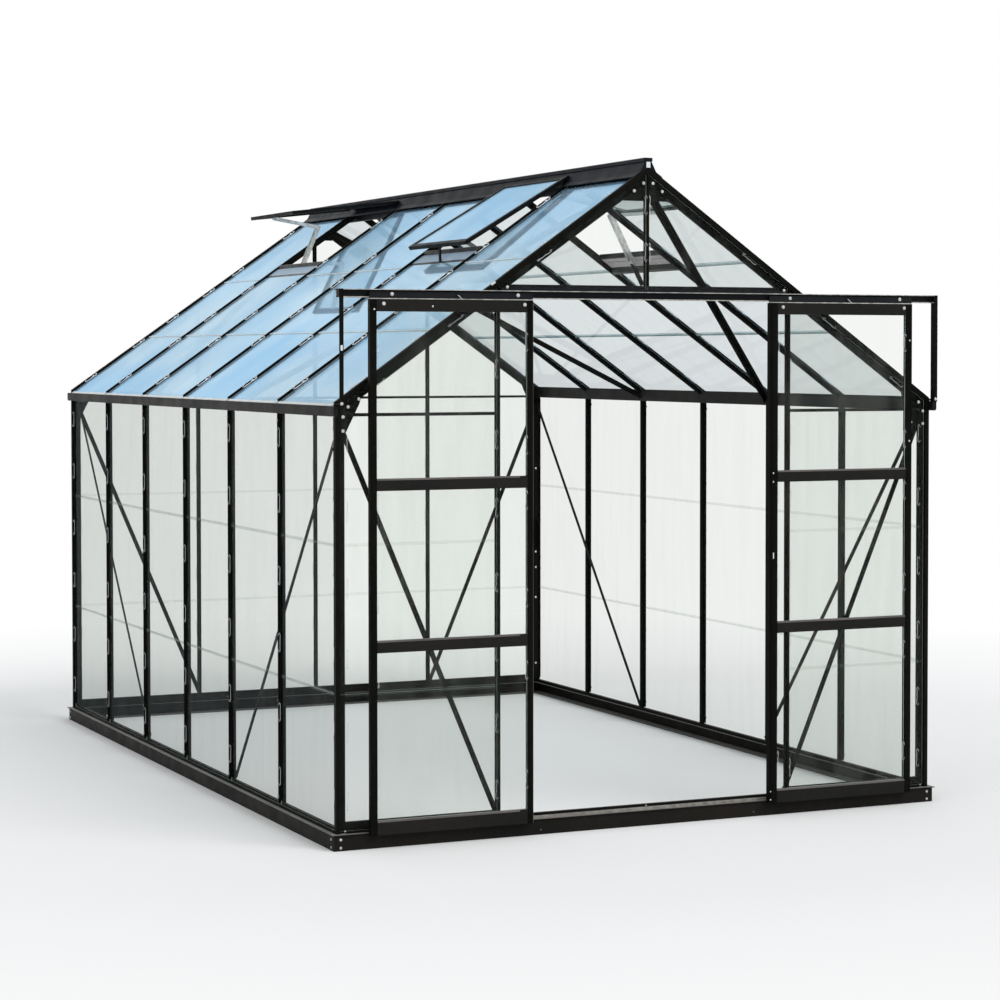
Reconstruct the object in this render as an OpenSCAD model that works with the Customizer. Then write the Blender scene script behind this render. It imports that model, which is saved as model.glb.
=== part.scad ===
// Aluminium-framed greenhouse with clear glass in lapped sheets, four roof vents that hinge at
// the ridge, and two sliding doors hung from a track across the front gable.
// X runs across the house, Y from the front gable to the rear one, Z up from the ground.

/* [Bays] */
// Spacing of the glazing bars, centre to centre
bay = 625; // [600:5:650]
// Number of bays along each side
bays_long = 6; // [5:1:8]
// From the centre of a house's last bay line to the outer face of its corner
edge = 25; // [22:1:30]

/* [Base] */
// Height of the steel base
base_h = 60; // [50:1:90]
// Thickness of the base's sheet
base_t = 3; // [2:0.5:4]
// How far the base's wall stands out from the frame
base_out = 14; // [10:1:16]
// How far the base's top lip stands out from its wall
base_lip = 8; // [4:1:9]
// How far the base's flanges reach in under the frame
base_in = 42; // [40:1:60]

/* [Frame] */
// Height of the roof's outer surface above the outer face of the side walls
eave_h = 1640; // [1600:5:1760]
// Slope of the roof in degrees
roof_pitch = 35; // [34:0.5:36]
// Depth of every frame member behind its outer face
frame_d = 30; // [28:1:34]
// Depth of the seat that the glass lies on
seat = 13; // [11:0.5:15]
// Width of a glazing bar's outer rib
rib_w = 5; // [4:0.5:6]
// Width of a glazing bar's seat flange
flange_w = 22; // [18:1:26]
// Thickness of a glazing bar's seat flange
flange_t = 3; // [2:0.5:4]
// Width of a glazing bar's inner channel
web_w = 12; // [8:1:14]
// Width of a corner post across the gable
post_w = 40; // [36:1:44]
// Width of the solid nose at the corner and along the rafters' roof side
nose_w = 17; // [16:0.5:18]
// Depth of a gable rafter's nose, square to the slope
nose_d = 20; // [16:1:24]
// Depth of a gable rafter, square to the slope
rafter_d = 48; // [44:1:54]
// Height of the gable sills
sill_h = 40; // [30:1:46]
// Height of the front gable's sill in the doorway
doorway_sill_h = 18; // [12:1:24]
// Height of the side sills
side_sill_h = 15; // [12:1:24]
// Height of the ledges that carry the lowest panes
ledge_h = 8; // [6:0.5:10]
// Height of the gable's eave rails
rail_h = 12; // [10:1:20]
// How far the eave rails lie below the eave height
rail_drop = 53; // [50:1:70]

/* [Eaves and ridge] */
// Width of the eave beam
eave_beam_w = 35; // [30:1:38]
// Height of the eave beam's underside below the eave height
eave_drop = 52; // [48:1:56]
// Width of the gutter outside the wall
gutter_w = 16; // [14:1:20]
// Height of the gutter
gutter_h = 36; // [30:1:38]
// Thickness of the gutter's sheet
gutter_t = 2; // [1.5:0.5:3]
// How far the roof glass reaches over the gutter
overhang = 4; // [2:1:8]
// Length of the gutters' outlet caps
outlet_l = 28; // [20:1:36]
// How far the outlet caps stand proud of the gutters
outlet_rim = 1; // [0.5:0.5:2]
// Half width of the ridge beam's web
ridge_web = 12; // [10:1:14]
// Depth of the ridge beam's web below the apex
ridge_d = 62; // [58:1:80]
// How far the ridge's wings cover the roof, measured level
ridge_wing = 60; // [54:1:70]
// Thickness of the ridge's wings
wing_t = 3; // [2:0.5:4]
// Half width of the ridge at the foot of its fascia
fascia_foot = 34; // [32:1:38]
// Half width of the ridge at the top of its fascia
fascia_head = 14; // [12:1:16]
// Height of the ridge's fascia above the apex line
fascia_h = 20; // [18:1:26]
// Half width of the ridge's top flange
ridge_top = 18; // [17:1:22]
// Thickness of the ridge's top flange
ridge_top_t = 14; // [8:1:18]

/* [Cross beam and track] */
// Height of the gable's cross beam
beam_h = 46; // [44:1:60]
// How far the upper panes reach down behind the cross beam's top
beam_seat = 14; // [10:1:18]
// Height of the cross beam's top above the rafters' underside at the door posts
beam_rise = 40; // [36:1:44]
// Height from the track's top face down from the top of the cross beam
track_drop = 25; // [20:1:30]
// Height of the track under its top flange
track_h = 28; // [27:1:34]
// Thickness of the track's top flange
track_flange_t = 3; // [2:0.5:4]
// How far the track's top flange stands out from the gable
track_reach = 52; // [51:1:60]
// Distance of the track's web from the gable
track_web_y = 22; // [20:1:22]
// Thickness of the track's web and of its running ledge
track_t = 4; // [3:0.5:4]
// Width of the track's running ledge in front of its web
track_ledge = 11; // [10:1:11]
// How far the track runs past the outer face of the side walls
track_past = 3; // [2:1:10]
// Width of the struts under the track's ends
strut_w = 16; // [14:1:18]
// Depth of the struts' inner leg
strut_leg = 22; // [18:1:24]
// Thickness of the struts
strut_t = 3; // [2:0.5:4]
// Distance of the struts' foot below the eave height
strut_foot = 8; // [6:1:10]
// Radius of the spacers behind the struts' feet
spacer_r = 4; // [3:0.5:4]

/* [Plates and braces] */
// Thickness of the gusset plates and of the flat braces
plate_t = 3; // [2:0.5:4]
// Width of the flat braces
brace_w = 20; // [16:1:24]
// Width of each leg of the roof's angle braces
angle_w = 25; // [20:1:30]
// Height of the eave gussets below the eave height
gusset_h = 110; // [90:5:130]
// Length of the eave gussets across the gable
gusset_l = 115; // [95:5:130]
// Length of the eave gussets' level upper edge
gusset_head = 92; // [80:2:94]
// Depth of the gussets' upper rims below the roof's surface, square to the slope
gusset_rim = 14; // [13.5:0.5:18]
// Half width of the apex gussets
apex_gusset = 90; // [80:5:110]
// Number of bays that a side brace or a roof brace crosses
brace_bays = 2; // [1:1:2]

/* [Glass] */
// Thickness of the glass
glass_t = 3; // [2.5:0.5:4]
// Gap from a bar's centre line to the edge of a pane
glass_gap = 4; // [3.5:0.5:6]
// Gap from a corner's outer face to the edge of a pane
corner_gap = 19; // [18.5:0.5:21]
// Height of the first lap in the walls above the base
wall_lap_1 = 510; // [450:5:560]
// Height of the second lap in the walls above the base
wall_lap_2 = 1057; // [950:5:1100]
// Distance up the slope of the first lap in the roof
roof_lap_1 = 478; // [420:2:500]
// Gap between the panes of a stack
lap_gap = 1; // [0.5:0.5:3]

/* [Vents] */
// Length of a vent from its hinge to its lower edge
vent_l = 530; // [500:5:560]
// Gap between a vent's side and the centre line of the bars beside it
vent_side = 9; // [7:1:14]
// Width of a vent's side and lower rails
vent_rail = 22; // [18:1:28]
// Depth of a vent's rails below its hinge line
vent_below = 12; // [10:0.5:12.5]
// Height of a vent's rails above its hinge line
vent_above = 4; // [3:0.5:6]
// Distance of a vent's top rail from its hinge line
vent_head = 4; // [3:0.5:6]
// Depth of a vent's top rail below its hinge line
vent_head_d = 6; // [4:0.5:6]
// Radius of a vent's hinge roll
hinge_r = 5; // [4:0.5:6]
// Opening angle of the front left vent
vent_open_lf = 4; // [3:0.5:30]
// Opening angle of the rear left vent
vent_open_lr = 28.5; // [3:0.5:30]
// Opening angle of the front right vent
vent_open_rf = 24; // [3:0.5:30]
// Opening angle of the rear right vent
vent_open_rr = 4; // [3:0.5:30]
// Length of a vent's sill plate, measured level
vent_sill_l = 66; // [56:1:76]
// Thickness of the beam under a sill plate's lower edge, measured level
vent_sill_t = 12; // [8:1:16]
// Level lap of a closed vent over its sill plate
vent_lap = 52; // [44:1:58]

/* [Vent openers] */
// Width of the openers' arms
arm_w = 14; // [10:1:16]
// Thickness of the openers' arms
arm_t = 3; // [2:0.5:4]
// Thickness of the stays under the vents that open by hand
stay_t = 16; // [10:1:20]
// Inner width between an automatic opener's lower arms
opener_w = 32; // [24:1:40]
// Distance of an automatic opener's elbow from its vent's hinge, along the vent
elbow_x = 304; // [280:2:330]
// Depth of an automatic opener's elbow below its vent's hinge line
elbow_d = 79; // [60:1:90]
// Level distance of an automatic opener's foot from the sill's upper edge
foot_in = 3; // [1:0.5:4]
// Depth of an automatic opener's foot below the roof's surface
foot_d = 33; // [30:1:40]
// Radius of an automatic opener's cylinder
cylinder_r = 10; // [8:0.5:12]
// How far the cylinder reaches past the opener's foot
cylinder_l = 105; // [80:5:120]

/* [Doors] */
// Width of a door leaf
leaf_w = 652; // [644:2:664]
// Thickness of a door leaf
leaf_t = 22; // [20:1:22]
// Gap between the gable's outer face and the back of a leaf
leaf_y = 27; // [27:1:28]
// Height of a leaf's lower edge
leaf_z = 52; // [40:1:58]
// Width of a leaf's trailing stile
stile_w = 26; // [22:1:32]
// Width of the left leaf's leading stile
left_lead_w = 22; // [19:0.5:26]
// Width of the right leaf's leading stile
right_lead_w = 36; // [32:1:42]
// Height of a leaf's bottom rail
bottom_rail_h = 54; // [44:1:60]
// Height of a leaf's top and middle rails
door_rail_h = 45; // [38:1:52]
// Height of the lower middle rail's underside above the leaf's lower edge
mid_rail_1 = 670; // [600:5:720]
// Height of the upper middle rail's underside above the leaf's lower edge
mid_rail_2 = 1263; // [1150:5:1300]
// Thickness of a leaf's rails
door_rail_t = 18; // [14:1:18]
// Gap between a leaf's top and the track above it
leaf_top_gap = 5; // [5:0.5:6]
// Thickness of the roller cover plate
cover_t = 3; // [2:0.5:3.5]
// Radius of a door wheel
wheel_r = 9; // [8:0.5:9]
// Width of a door wheel
wheel_w = 8; // [6:1:8]
// Distance of the left leaf's one wheel from its trailing edge
wheel_in_left = 88; // [50:2:100]
// Distance of the left leaf's other wheel from its leading edge
wheel_out_left = 60; // [50:2:100]
// Distance of the right leaf's one wheel from its trailing edge
wheel_in_right = 56; // [50:2:100]
// Distance of the right leaf's other wheel from its leading edge
wheel_out_right = 92; // [50:2:100]
// Distance of the left leaf's trailing edge from the middle of the house
left_rest = 1158; // [1100:2:1170]
// Distance of the right leaf's trailing edge from the middle of the house
right_rest = 1161; // [1100:2:1170]
// Height of the pull strip's lower end
pull_z = 640; // [600:10:700]
// Length of the pull strip
pull_l = 760; // [700:10:820]
// How far the pull strip stands past the left leaf's leading stile
pull_w = 17; // [14:0.5:20]
// Height of the handle's lower end
handle_z = 1092; // [1060:4:1160]
// Length of the handle
handle_l = 102; // [80:2:120]
// How far the handle's grip stands out
grip = 22; // [16:1:30]

/* [Hidden] */
// Clearance of a piece from the one that carries it
fit = 0.3;
// Overshoot of cutting solids past what they cut
past = 5;
// Width and length of the house over its frame
half_w = 2 * bay + edge;
house_l = bays_long * bay + 2 * edge;
// Rise of the roof for each millimetre across, and the stretch of a square depth when measured upright
rise = tan(roof_pitch);
upright = 1 / cos(roof_pitch);
// Height of the roof's outer surface, and of a plane the depth d below it, at the distance x from the middle
function roof_z(x) = eave_h + (half_w - x) * rise;
function under(x, d) = roof_z(x) - d * upright;
// Level distance from the middle of a point the distance s up the slope from the eave line
function slope_x(s) = half_w - s * cos(roof_pitch);
// Centre line of glazing bar i along the house
function bar_y(i) = edge + i * bay;
// First plane behind the gables' gussets
inner_y = frame_d + plate_t;
front_reach = leaf_y + leaf_t + cover_t + grip;
base_reach = base_out + base_lip;
mid_y = (house_l + base_reach - front_reach) / 2;
beam_top = under(bay, rafter_d) + beam_rise;
track_top = beam_top - track_drop;
track_low = track_top - track_flange_t - track_h;
leaf_top = track_low - leaf_top_gap;
leaf_h = leaf_top - leaf_z;
eave_low = eave_h - eave_drop;
sill_top = base_h + sill_h;
side_sill_top = base_h + side_sill_h;
roof_lap_2 = 2 * roof_lap_1;
// Heights of the gable panes' laps and of their lowest edges
gable_laps = [base_h + wall_lap_1, base_h + wall_lap_2, eave_h - rail_drop];
gable_pane_z = base_h + ledge_h + fit;
// Bays that hold a vent on each side, and half the width of a vent
vent_bays = [1, bays_long - 2];
vent_half = bay / 2 - vent_side;
// Back and front planes of the leaves, and each rail's foot and head
leaf_back = -leaf_y;
leaf_front = -leaf_y - leaf_t;
rail_spans = [
    [leaf_z, leaf_z + bottom_rail_h],
    [leaf_z + mid_rail_1, leaf_z + mid_rail_1 + door_rail_h],
    [leaf_z + mid_rail_2, leaf_z + mid_rail_2 + door_rail_h],
    [leaf_top - door_rail_h, leaf_top]
];
// Hinge line of the vents, half way up the ridge's fascia and one roll's radius out from it
fascia_low_z = roof_z(fascia_foot) + wing_t * upright;
fascia_top_z = roof_z(0) + fascia_h;
fascia_run = sqrt(pow(fascia_foot - fascia_head, 2) + pow(fascia_top_z - fascia_low_z, 2));
hinge_out = hinge_r + fit;
hinge_x = (fascia_foot + fascia_head) / 2 + hinge_out * (fascia_top_z - fascia_low_z) / fascia_run;
hinge_z = (fascia_low_z + fascia_top_z) / 2 + hinge_out * (fascia_foot - fascia_head) / fascia_run;
vent_sill_top = hinge_x + vent_l * cos(roof_pitch) - vent_lap;
vent_sill_low = vent_sill_top + vent_sill_l;

black = "#17181b";
dark_brown = "#2b2824";
clear_glass = "#cfe4ea";
zinc = "#b9bcc0";

// ---- Placing ----

// Puts the middle of the whole footprint at the origin
module site() translate([0, -mid_y, 0]) children();

// The same shape at the rear gable
module at_rear() translate([0, house_l, 0]) mirror([0, 1, 0]) children();

module left_side() mirror([1, 0, 0]) children();

module both_sides() {
    children();
    left_side() children();
}

module both_gables() {
    children();
    at_rear() children();
}

// A flat outline in X and Z, given thickness from y0 to y1
module slab_y(y0, y1) translate([0, y1, 0]) rotate([90, 0, 0]) linear_extrude(y1 - y0) children();

// A flat outline in Y and Z, given thickness from x0 to x1
module slab_x(x0, x1) translate([x0, 0, 0]) rotate([90, 0, 90]) linear_extrude(x1 - x0) children();

// A block between two corners
module block(low, high) translate(low) cube(high - low);

// A strip of the right slope between two distances from the middle and two depths below its surface
module slope_strip(x0, x1, d0, d1, y0, y1) {
    slab_y(y0, y1)
        polygon([[x0, under(x0, d0)], [x1, under(x1, d0)], [x1, under(x1, d1)], [x0, under(x0, d1)]]);
}

// ---- Base ----

// Outline of the base's channel, with X pointing out from the frame and Y up
module base_section() {
    polygon([
        [-base_in, 0], [base_out, 0], [base_out, base_h - base_t], [base_reach, base_h - base_t],
        [base_reach, base_h], [-base_in, base_h], [-base_in, base_h - base_t],
        [base_out - base_t, base_h - base_t], [base_out - base_t, base_t], [-base_in, base_t]
    ]);
}

// One side of the base, along X with its outer face towards -Y, mitred at both ends
module base_rail(length) {
    out = base_reach + past;
    in = base_in + past;
    intersection() {
        slab_x(-length, length) mirror([1, 0]) base_section();
        translate([0, 0, -past]) linear_extrude(base_h + 2 * past)
            polygon([
                [-length / 2 - out + fit, -out], [length / 2 + out - fit, -out],
                [length / 2 - in - fit, in], [-length / 2 + in + fit, in]
            ]);
    }
}

module base() color(dark_brown) site() {
    both_gables() base_rail(2 * half_w);
    both_sides() translate([half_w, house_l / 2, 0]) rotate([0, 0, 90]) base_rail(house_l);
}

// ---- Frame sections ----

// Outline of a glazing bar, centred on X with Y as the depth behind its outer face
module bar_section() {
    polygon([
        [-rib_w / 2, 0], [rib_w / 2, 0], [rib_w / 2, seat], [flange_w / 2, seat],
        [flange_w / 2, seat + flange_t], [web_w / 2, seat + flange_t], [web_w / 2, frame_d],
        [-web_w / 2, frame_d], [-web_w / 2, seat + flange_t], [-flange_w / 2, seat + flange_t],
        [-flange_w / 2, seat], [-rib_w / 2, seat]
    ]);
}

// Outline of the front right corner post
module corner_section() {
    polygon([
        [half_w, 0], [half_w, nose_w], [half_w - seat, nose_w], [half_w - seat, frame_d],
        [half_w - post_w, frame_d], [half_w - post_w, seat], [half_w - nose_w, seat], [half_w - nose_w, 0]
    ]);
}

// One gable rafter on the right slope
module gable_rafter() {
    slope_strip(fit / 2, half_w, 0, nose_d, 0, nose_w);
    slope_strip(fit / 2, half_w - seat, seat, rafter_d, seat, frame_d);
}

// What is left of a gable member below the rafters that it meets
module under_rafters() {
    d = nose_d - past;
    x = half_w + past;
    difference() {
        intersection() {
            children();
            slab_y(-past, frame_d + past)
                polygon([[-x, under(x, d)], [0, under(0, d)], [x, under(x, d)], [x, 0], [-x, 0]]);
        }
        both_sides() gable_rafter();
        slope_strip(-past, past, seat, rafter_d, seat, frame_d);
    }
}

// ---- Sills and posts ----

// A gable's sill with its ledge, low within the given distance of the middle
module gable_sill(low_half) {
    x = half_w - post_w;
    both_sides() block([low_half, seat, base_h], [x, frame_d, sill_top]);
    block([-x, 0, base_h], [x, seat, base_h + ledge_h]);
    block([-x, seat, base_h], [x, frame_d, base_h + doorway_sill_h]);
}

module gable_sills() color(black) site() {
    gable_sill(bay - flange_w / 2);
    at_rear() gable_sill(0);
}

module side_sills() color(black) site() both_sides() {
    block([half_w - frame_d, frame_d, base_h], [half_w - seat, house_l - frame_d, side_sill_top]);
    block([half_w - seat, frame_d, base_h], [half_w, house_l - frame_d, base_h + ledge_h]);
}

module corner_posts() color(black) site() both_gables() both_sides()
    under_rafters() translate([0, 0, base_h]) linear_extrude(eave_h) corner_section();

// Glazing bars of the right wall
module wall_bars() {
    for (i = [1 : bays_long - 1])
        translate([half_w, bar_y(i), side_sill_top]) rotate([0, 0, 90])
            linear_extrude(eave_low - side_sill_top) bar_section();
}

module right_wall_bars() color(black) site() wall_bars();
module left_wall_bars() color(black) site() left_side() wall_bars();

// One upright of a gable at x, from z up to the rafters
module gable_post(x, z) {
    under_rafters() translate([x, 0, z]) linear_extrude(roof_z(0) - z) bar_section();
}

module front_gable_posts() color(black) site() {
    both_sides() gable_post(bay, sill_top);
    gable_post(0, beam_top);
}

module rear_gable_posts() color(black) site() at_rear() {
    both_sides() gable_post(bay, sill_top);
    gable_post(0, sill_top);
}

module front_cross_beam() color(black) site() under_rafters() {
    reach = bay - flange_w / 2;
    block([-reach, seat, beam_top - beam_h], [reach, frame_d, beam_top]);
    block([-reach, 0, beam_top - beam_h], [reach, seat, beam_top - beam_seat]);
}

// An eave rail across one gable bay, between two distances from the middle
module eave_rail(x0, x1) {
    top = eave_h - rail_drop + rail_h;
    block([x0, seat, top - rail_h], [x1, frame_d, top]);
}

module eave_rails() color(black) site() both_sides() {
    both_gables() eave_rail(bay + flange_w / 2, half_w - post_w);
    at_rear() eave_rail(flange_w / 2, bay - flange_w / 2);
}

// ---- Roof frame ----

module gable_rafters() color(black) site() both_gables() both_sides() gable_rafter();

// A strip of a roof bar between the depths d0 and d1, cut square to the slope at the eave
module slope_bar(d0, d1, width) {
    slab_y(-width / 2, width / 2)
        polygon([
            [ridge_web, under(ridge_web, d0)], [half_w - d0 * sin(roof_pitch), eave_h - d0 * cos(roof_pitch)],
            [half_w - d1 * sin(roof_pitch), eave_h - d1 * cos(roof_pitch)], [ridge_web, under(ridge_web, d1)]
        ]);
}

// Glazing bars of the right slope, notched over the eave beam
module roof_bars() {
    for (i = [1 : bays_long - 1])
        translate([0, bar_y(i), 0]) {
            slope_bar(0, seat + flange_t, rib_w);
            slope_bar(seat, seat + flange_t, flange_w);
            slope_strip(ridge_web, half_w - eave_beam_w, seat, frame_d, -web_w / 2, web_w / 2);
        }
}

module right_roof_bars() color(black) site() roof_bars();
module left_roof_bars() color(black) site() left_side() roof_bars();

// Outline of the right half of the ridge cap, above the roof's surface
module ridge_half() {
    polygon([
        [0, under(0, -fit)], [ridge_wing, under(ridge_wing, -fit)], [ridge_wing, under(ridge_wing, -wing_t)],
        [fascia_foot, fascia_low_z], [fascia_head, fascia_top_z],
        [ridge_top, fascia_top_z], [ridge_top, fascia_top_z + ridge_top_t], [0, fascia_top_z + ridge_top_t]
    ]);
}

module ridge_beam() color(dark_brown) site() {
    slab_y(0, house_l) union() {
        ridge_half();
        mirror([1, 0]) ridge_half();
    }
    block([-ridge_web, inner_y, roof_z(0) - ridge_d], [ridge_web, house_l - inner_y, roof_z(0) + past]);
}

// Eave beam with its gutter on the right side
module eave_gutter() {
    beam_x = half_w - eave_beam_w;
    beam_rim = seat + flange_t + fit;
    lip = half_w + gutter_w;
    top = eave_low + gutter_h;
    back = half_w + gutter_t;
    back_top = under(back, seat + fit);
    slab_y(inner_y, house_l - inner_y)
        polygon([
            [beam_x, eave_low], [half_w, eave_low],
            [half_w, under(half_w, beam_rim)], [beam_x, under(beam_x, beam_rim)]
        ]);
    slab_y(0, house_l)
        polygon([
            [half_w, eave_low], [lip, eave_low], [lip, top], [lip - gutter_t, top],
            [lip - gutter_t, eave_low + gutter_t], [back, eave_low + gutter_t],
            [back, back_top], [half_w, back_top]
        ]);
}

module right_eave_gutter() color(dark_brown) site() eave_gutter();
module left_eave_gutter() color(dark_brown) site() left_side() eave_gutter();

// Round-bottomed caps that close the gutters' ends, long at the front as outlets
module gutter_cap(length) {
    r = gutter_w / 2 + outlet_rim;
    slab_y(-length, 0) union() {
        translate([half_w + gutter_w / 2, eave_low + r]) circle(r, $fn = 48);
        translate([half_w + gutter_w / 2 - r, eave_low + r]) square([2 * r, gutter_h - r]);
    }
}

module gutter_outlets() color(black) site() both_sides() {
    gutter_cap(outlet_l);
    at_rear() gutter_cap(gutter_t);
}

// ---- Door track ----

module door_track() color(black) site() {
    low = track_low;
    web = -track_web_y - track_t;
    slab_x(-half_w - track_past, half_w + track_past)
        polygon([
            [0, track_top], [-track_reach, track_top], [-track_reach, track_top - track_flange_t],
            [web, track_top - track_flange_t], [web, low + track_t], [web - track_ledge, low + track_t],
            [web - track_ledge, low], [-track_web_y, low], [-track_web_y, track_top - track_flange_t],
            [0, track_top - track_flange_t]
        ]);
}

// Struts from the track's ends down to the gable's corners
module track_struts() color(dark_brown) site() both_sides() {
    outer = half_w + track_past;
    inner = outer - strut_w;
    foot = eave_h - strut_foot;
    block([inner, -track_reach - strut_t, foot - strut_w / 2], [outer, -track_reach, track_top]);
    block([inner, -track_reach, foot - strut_w / 2], [inner + strut_t, -track_reach + strut_leg, track_low]);
    translate([outer - strut_w / 2, 0, foot]) rotate([90, 0, 0])
        cylinder(h = track_reach, r = spacer_r, $fn = 32);
}

// ---- Gussets and braces ----

module eave_gusset_outline() {
    x = half_w - seat - fit;
    polygon([
        [x, eave_h - gusset_h], [x - post_w, eave_h - gusset_h], [x - gusset_head, eave_h - gusset_rim / 2],
        [x - gusset_l, under(x - gusset_l, gusset_rim)], [x, under(x, gusset_rim)]
    ]);
}

module apex_gusset_outline() {
    rim_z = under(apex_gusset, gusset_rim);
    low_z = under(apex_gusset, rafter_d + gusset_rim / 2);
    polygon([
        [-apex_gusset, rim_z], [0, under(0, gusset_rim)], [apex_gusset, rim_z],
        [apex_gusset, low_z], [-apex_gusset, low_z]
    ]);
}

module gable_gussets() color(black) site() both_gables() {
    both_sides() slab_y(frame_d, inner_y) eave_gusset_outline();
    slab_y(frame_d, inner_y) apex_gusset_outline();
}

// A flat bar's outline between two points
module bar_outline(from, to, width) {
    run = norm(to - from);
    side = [from[1] - to[1], to[0] - from[0]] / run * width / 2;
    polygon([from + side, to + side, to - side, from - side]);
}

// From the eave gussets to the feet of the door posts
module gable_braces() color(black) site() both_gables() both_sides()
    slab_y(frame_d, inner_y) intersection() {
        bar_outline([half_w - post_w, eave_h - gusset_h], [bay, sill_top - brace_w / 2], brace_w);
        translate([0, sill_top - brace_w])
            square([half_w, eave_h - gusset_h - fit - sill_top + brace_w]);
    }

// Across the inner faces of the first bars of each wall, from the eave to the sill
module side_brace() {
    reach = bar_y(brace_bays);
    slab_x(half_w - frame_d - plate_t, half_w - frame_d) intersection() {
        bar_outline([inner_y - past, eave_low - brace_w / 2], [reach, side_sill_top + brace_w / 2], brace_w);
        translate([inner_y + fit, side_sill_top + fit]) square([reach, eave_low - side_sill_top - 2 * fit]);
    }
}

module side_braces() color(black) site() both_gables() both_sides() side_brace();

// An angle across the inner faces of the roof bars, from the ridge at the gable to the eave, with
// one leg flat on the bars and the other on the edge that faces the ridge
module roof_brace() {
    reach = bar_y(brace_bays);
    foot = [0, reach];
    head = [half_w / cos(roof_pitch), inner_y - past];
    across = [foot[1] - head[1], head[0] - foot[0]] / norm(head - foot) * (angle_w - plate_t) / 2;
    intersection() {
        translate([half_w, 0, eave_h]) rotate([0, 180 + roof_pitch, 0]) translate([0, 0, frame_d + fit]) {
            linear_extrude(plate_t) bar_outline(foot, head, angle_w);
            linear_extrude(angle_w) bar_outline(foot + across, head + across, plate_t);
        }
        block([ridge_web + fit, inner_y + fit, 0], [half_w - eave_beam_w - fit, reach + bay / 2, 2 * eave_h]);
    }
}

module roof_braces() color(black) site() both_gables() both_sides() roof_brace();

// ---- Glass ----

// Along the house, each bay's pane runs between these two places
function pane_low(i) = i == 0 ? corner_gap : bar_y(i) + glass_gap;
function pane_high(i) = i == bays_long - 1 ? house_l - corner_gap : bar_y(i + 1) - glass_gap;

module wall_glass() {
    laps = [base_h + ledge_h + fit, base_h + wall_lap_1, base_h + wall_lap_2, eave_low - fit];
    for (i = [0 : bays_long - 1])
        for (k = [0 : len(laps) - 2])
            block(
                [half_w - seat, pane_low(i), laps[k]],
                [half_w - seat + glass_t, pane_high(i), laps[k + 1] - (k < len(laps) - 2 ? lap_gap : 0)]
            );
}

module right_wall_glass() color(clear_glass, 0.35) site() wall_glass();
module left_wall_glass() color(clear_glass, 0.35) site() left_side() wall_glass();

function has_vent(i) = len([for (v = vent_bays) if (v == i) v]) > 0;

// Panes of the right slope from the gutter up; a vent takes the place of the top pane
module roof_glass() {
    ends = [half_w + overhang, slope_x(roof_lap_1), slope_x(roof_lap_2), ridge_web + glass_gap];
    for (i = [0 : bays_long - 1])
        for (k = [0 : has_vent(i) ? 1 : 2])
            slope_strip(
                (has_vent(i) && k == 1) ? vent_sill_low + lap_gap : ends[k + 1] + (k < 2 ? lap_gap : 0),
                ends[k], seat - glass_t - fit, seat - fit, pane_low(i), pane_high(i)
            );
}

module right_roof_glass() color(clear_glass, 0.35) site() roof_glass();
module left_roof_glass() color(clear_glass, 0.35) site() left_side() roof_glass();

// Panes of one gable bay from height z0 up to the rafter, cut at the given laps
module gable_panes(x0, x1, z0, laps) {
    d = nose_d + fit;
    heights = concat([z0], laps, [roof_z(0)]);
    for (k = [0 : len(heights) - 2])
        slab_y(seat - glass_t, seat) intersection() {
            polygon([[x0, z0], [x1, z0], [x1, under(x1, d)], [x0, under(x0, d)]]);
            translate([x0 - past, heights[k]])
                square([
                    x1 - x0 + 2 * past,
                    heights[k + 1] - heights[k] - (k < len(heights) - 2 ? lap_gap : 0)
                ]);
        }
}

module front_gable_glass() color(clear_glass, 0.35) site() both_sides() {
    gable_panes(bay + glass_gap, half_w - corner_gap, gable_pane_z, gable_laps);
    gable_panes(glass_gap, bay - glass_gap, beam_top - beam_seat + fit, []);
}

module rear_gable_glass() color(clear_glass, 0.35) site() at_rear() both_sides() {
    gable_panes(bay + glass_gap, half_w - corner_gap, gable_pane_z, gable_laps);
    gable_panes(glass_gap, bay - glass_gap, gable_pane_z, concat(gable_laps, [beam_top]));
}

// ---- Vents ----

// Frame of reference of a vent on the right slope: X from the hinge to the lower edge, Z outwards
module vent_place(bay_index, open) {
    translate([hinge_x, bar_y(bay_index) + bay / 2, hinge_z]) rotate([0, roof_pitch - open, 0]) children();
}

// A point in a vent's frame of reference, as X and Z on the right slope
function vent_point(open, x, z) =
    let (a = roof_pitch - open)
    [hinge_x + x * cos(a) + z * sin(a), hinge_z - x * sin(a) + z * cos(a)];

// Hinge roll and top rail, two side rails and the lower rail
module vent_frame(open, bay_index) {
    side_x = vent_head + vent_rail;
    vent_place(bay_index, open) {
        rotate([90, 0, 0]) translate([0, 0, -vent_half]) cylinder(h = 2 * vent_half, r = hinge_r, $fn = 48);
        block([0, -vent_half, -hinge_r / 2], [vent_head + fit, vent_half, hinge_r / 2]);
        block([vent_head, -vent_half, -vent_head_d], [side_x, vent_half, vent_above]);
        for (side = [-1, 1])
            translate([0, side * (vent_half - vent_rail / 2), 0])
                block(
                    [side_x + fit, -vent_rail / 2, -vent_below],
                    [vent_l - vent_rail - fit, vent_rail / 2, vent_above]
                );
        block([vent_l - vent_rail, -vent_half, -vent_below], [vent_l, vent_half, vent_above]);
    }
}

module vent_pane(open, bay_index) {
    y = vent_half - vent_rail - fit;
    vent_place(bay_index, open)
        block([vent_head + vent_rail + fit, -y, -glass_t], [vent_l - vent_rail - fit, y, 0]);
}

module vent_frames() color(black) site() {
    vent_frame(vent_open_rf, vent_bays[0]);
    vent_frame(vent_open_rr, vent_bays[1]);
    left_side() vent_frame(vent_open_lf, vent_bays[0]);
    left_side() vent_frame(vent_open_lr, vent_bays[1]);
}

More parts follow.
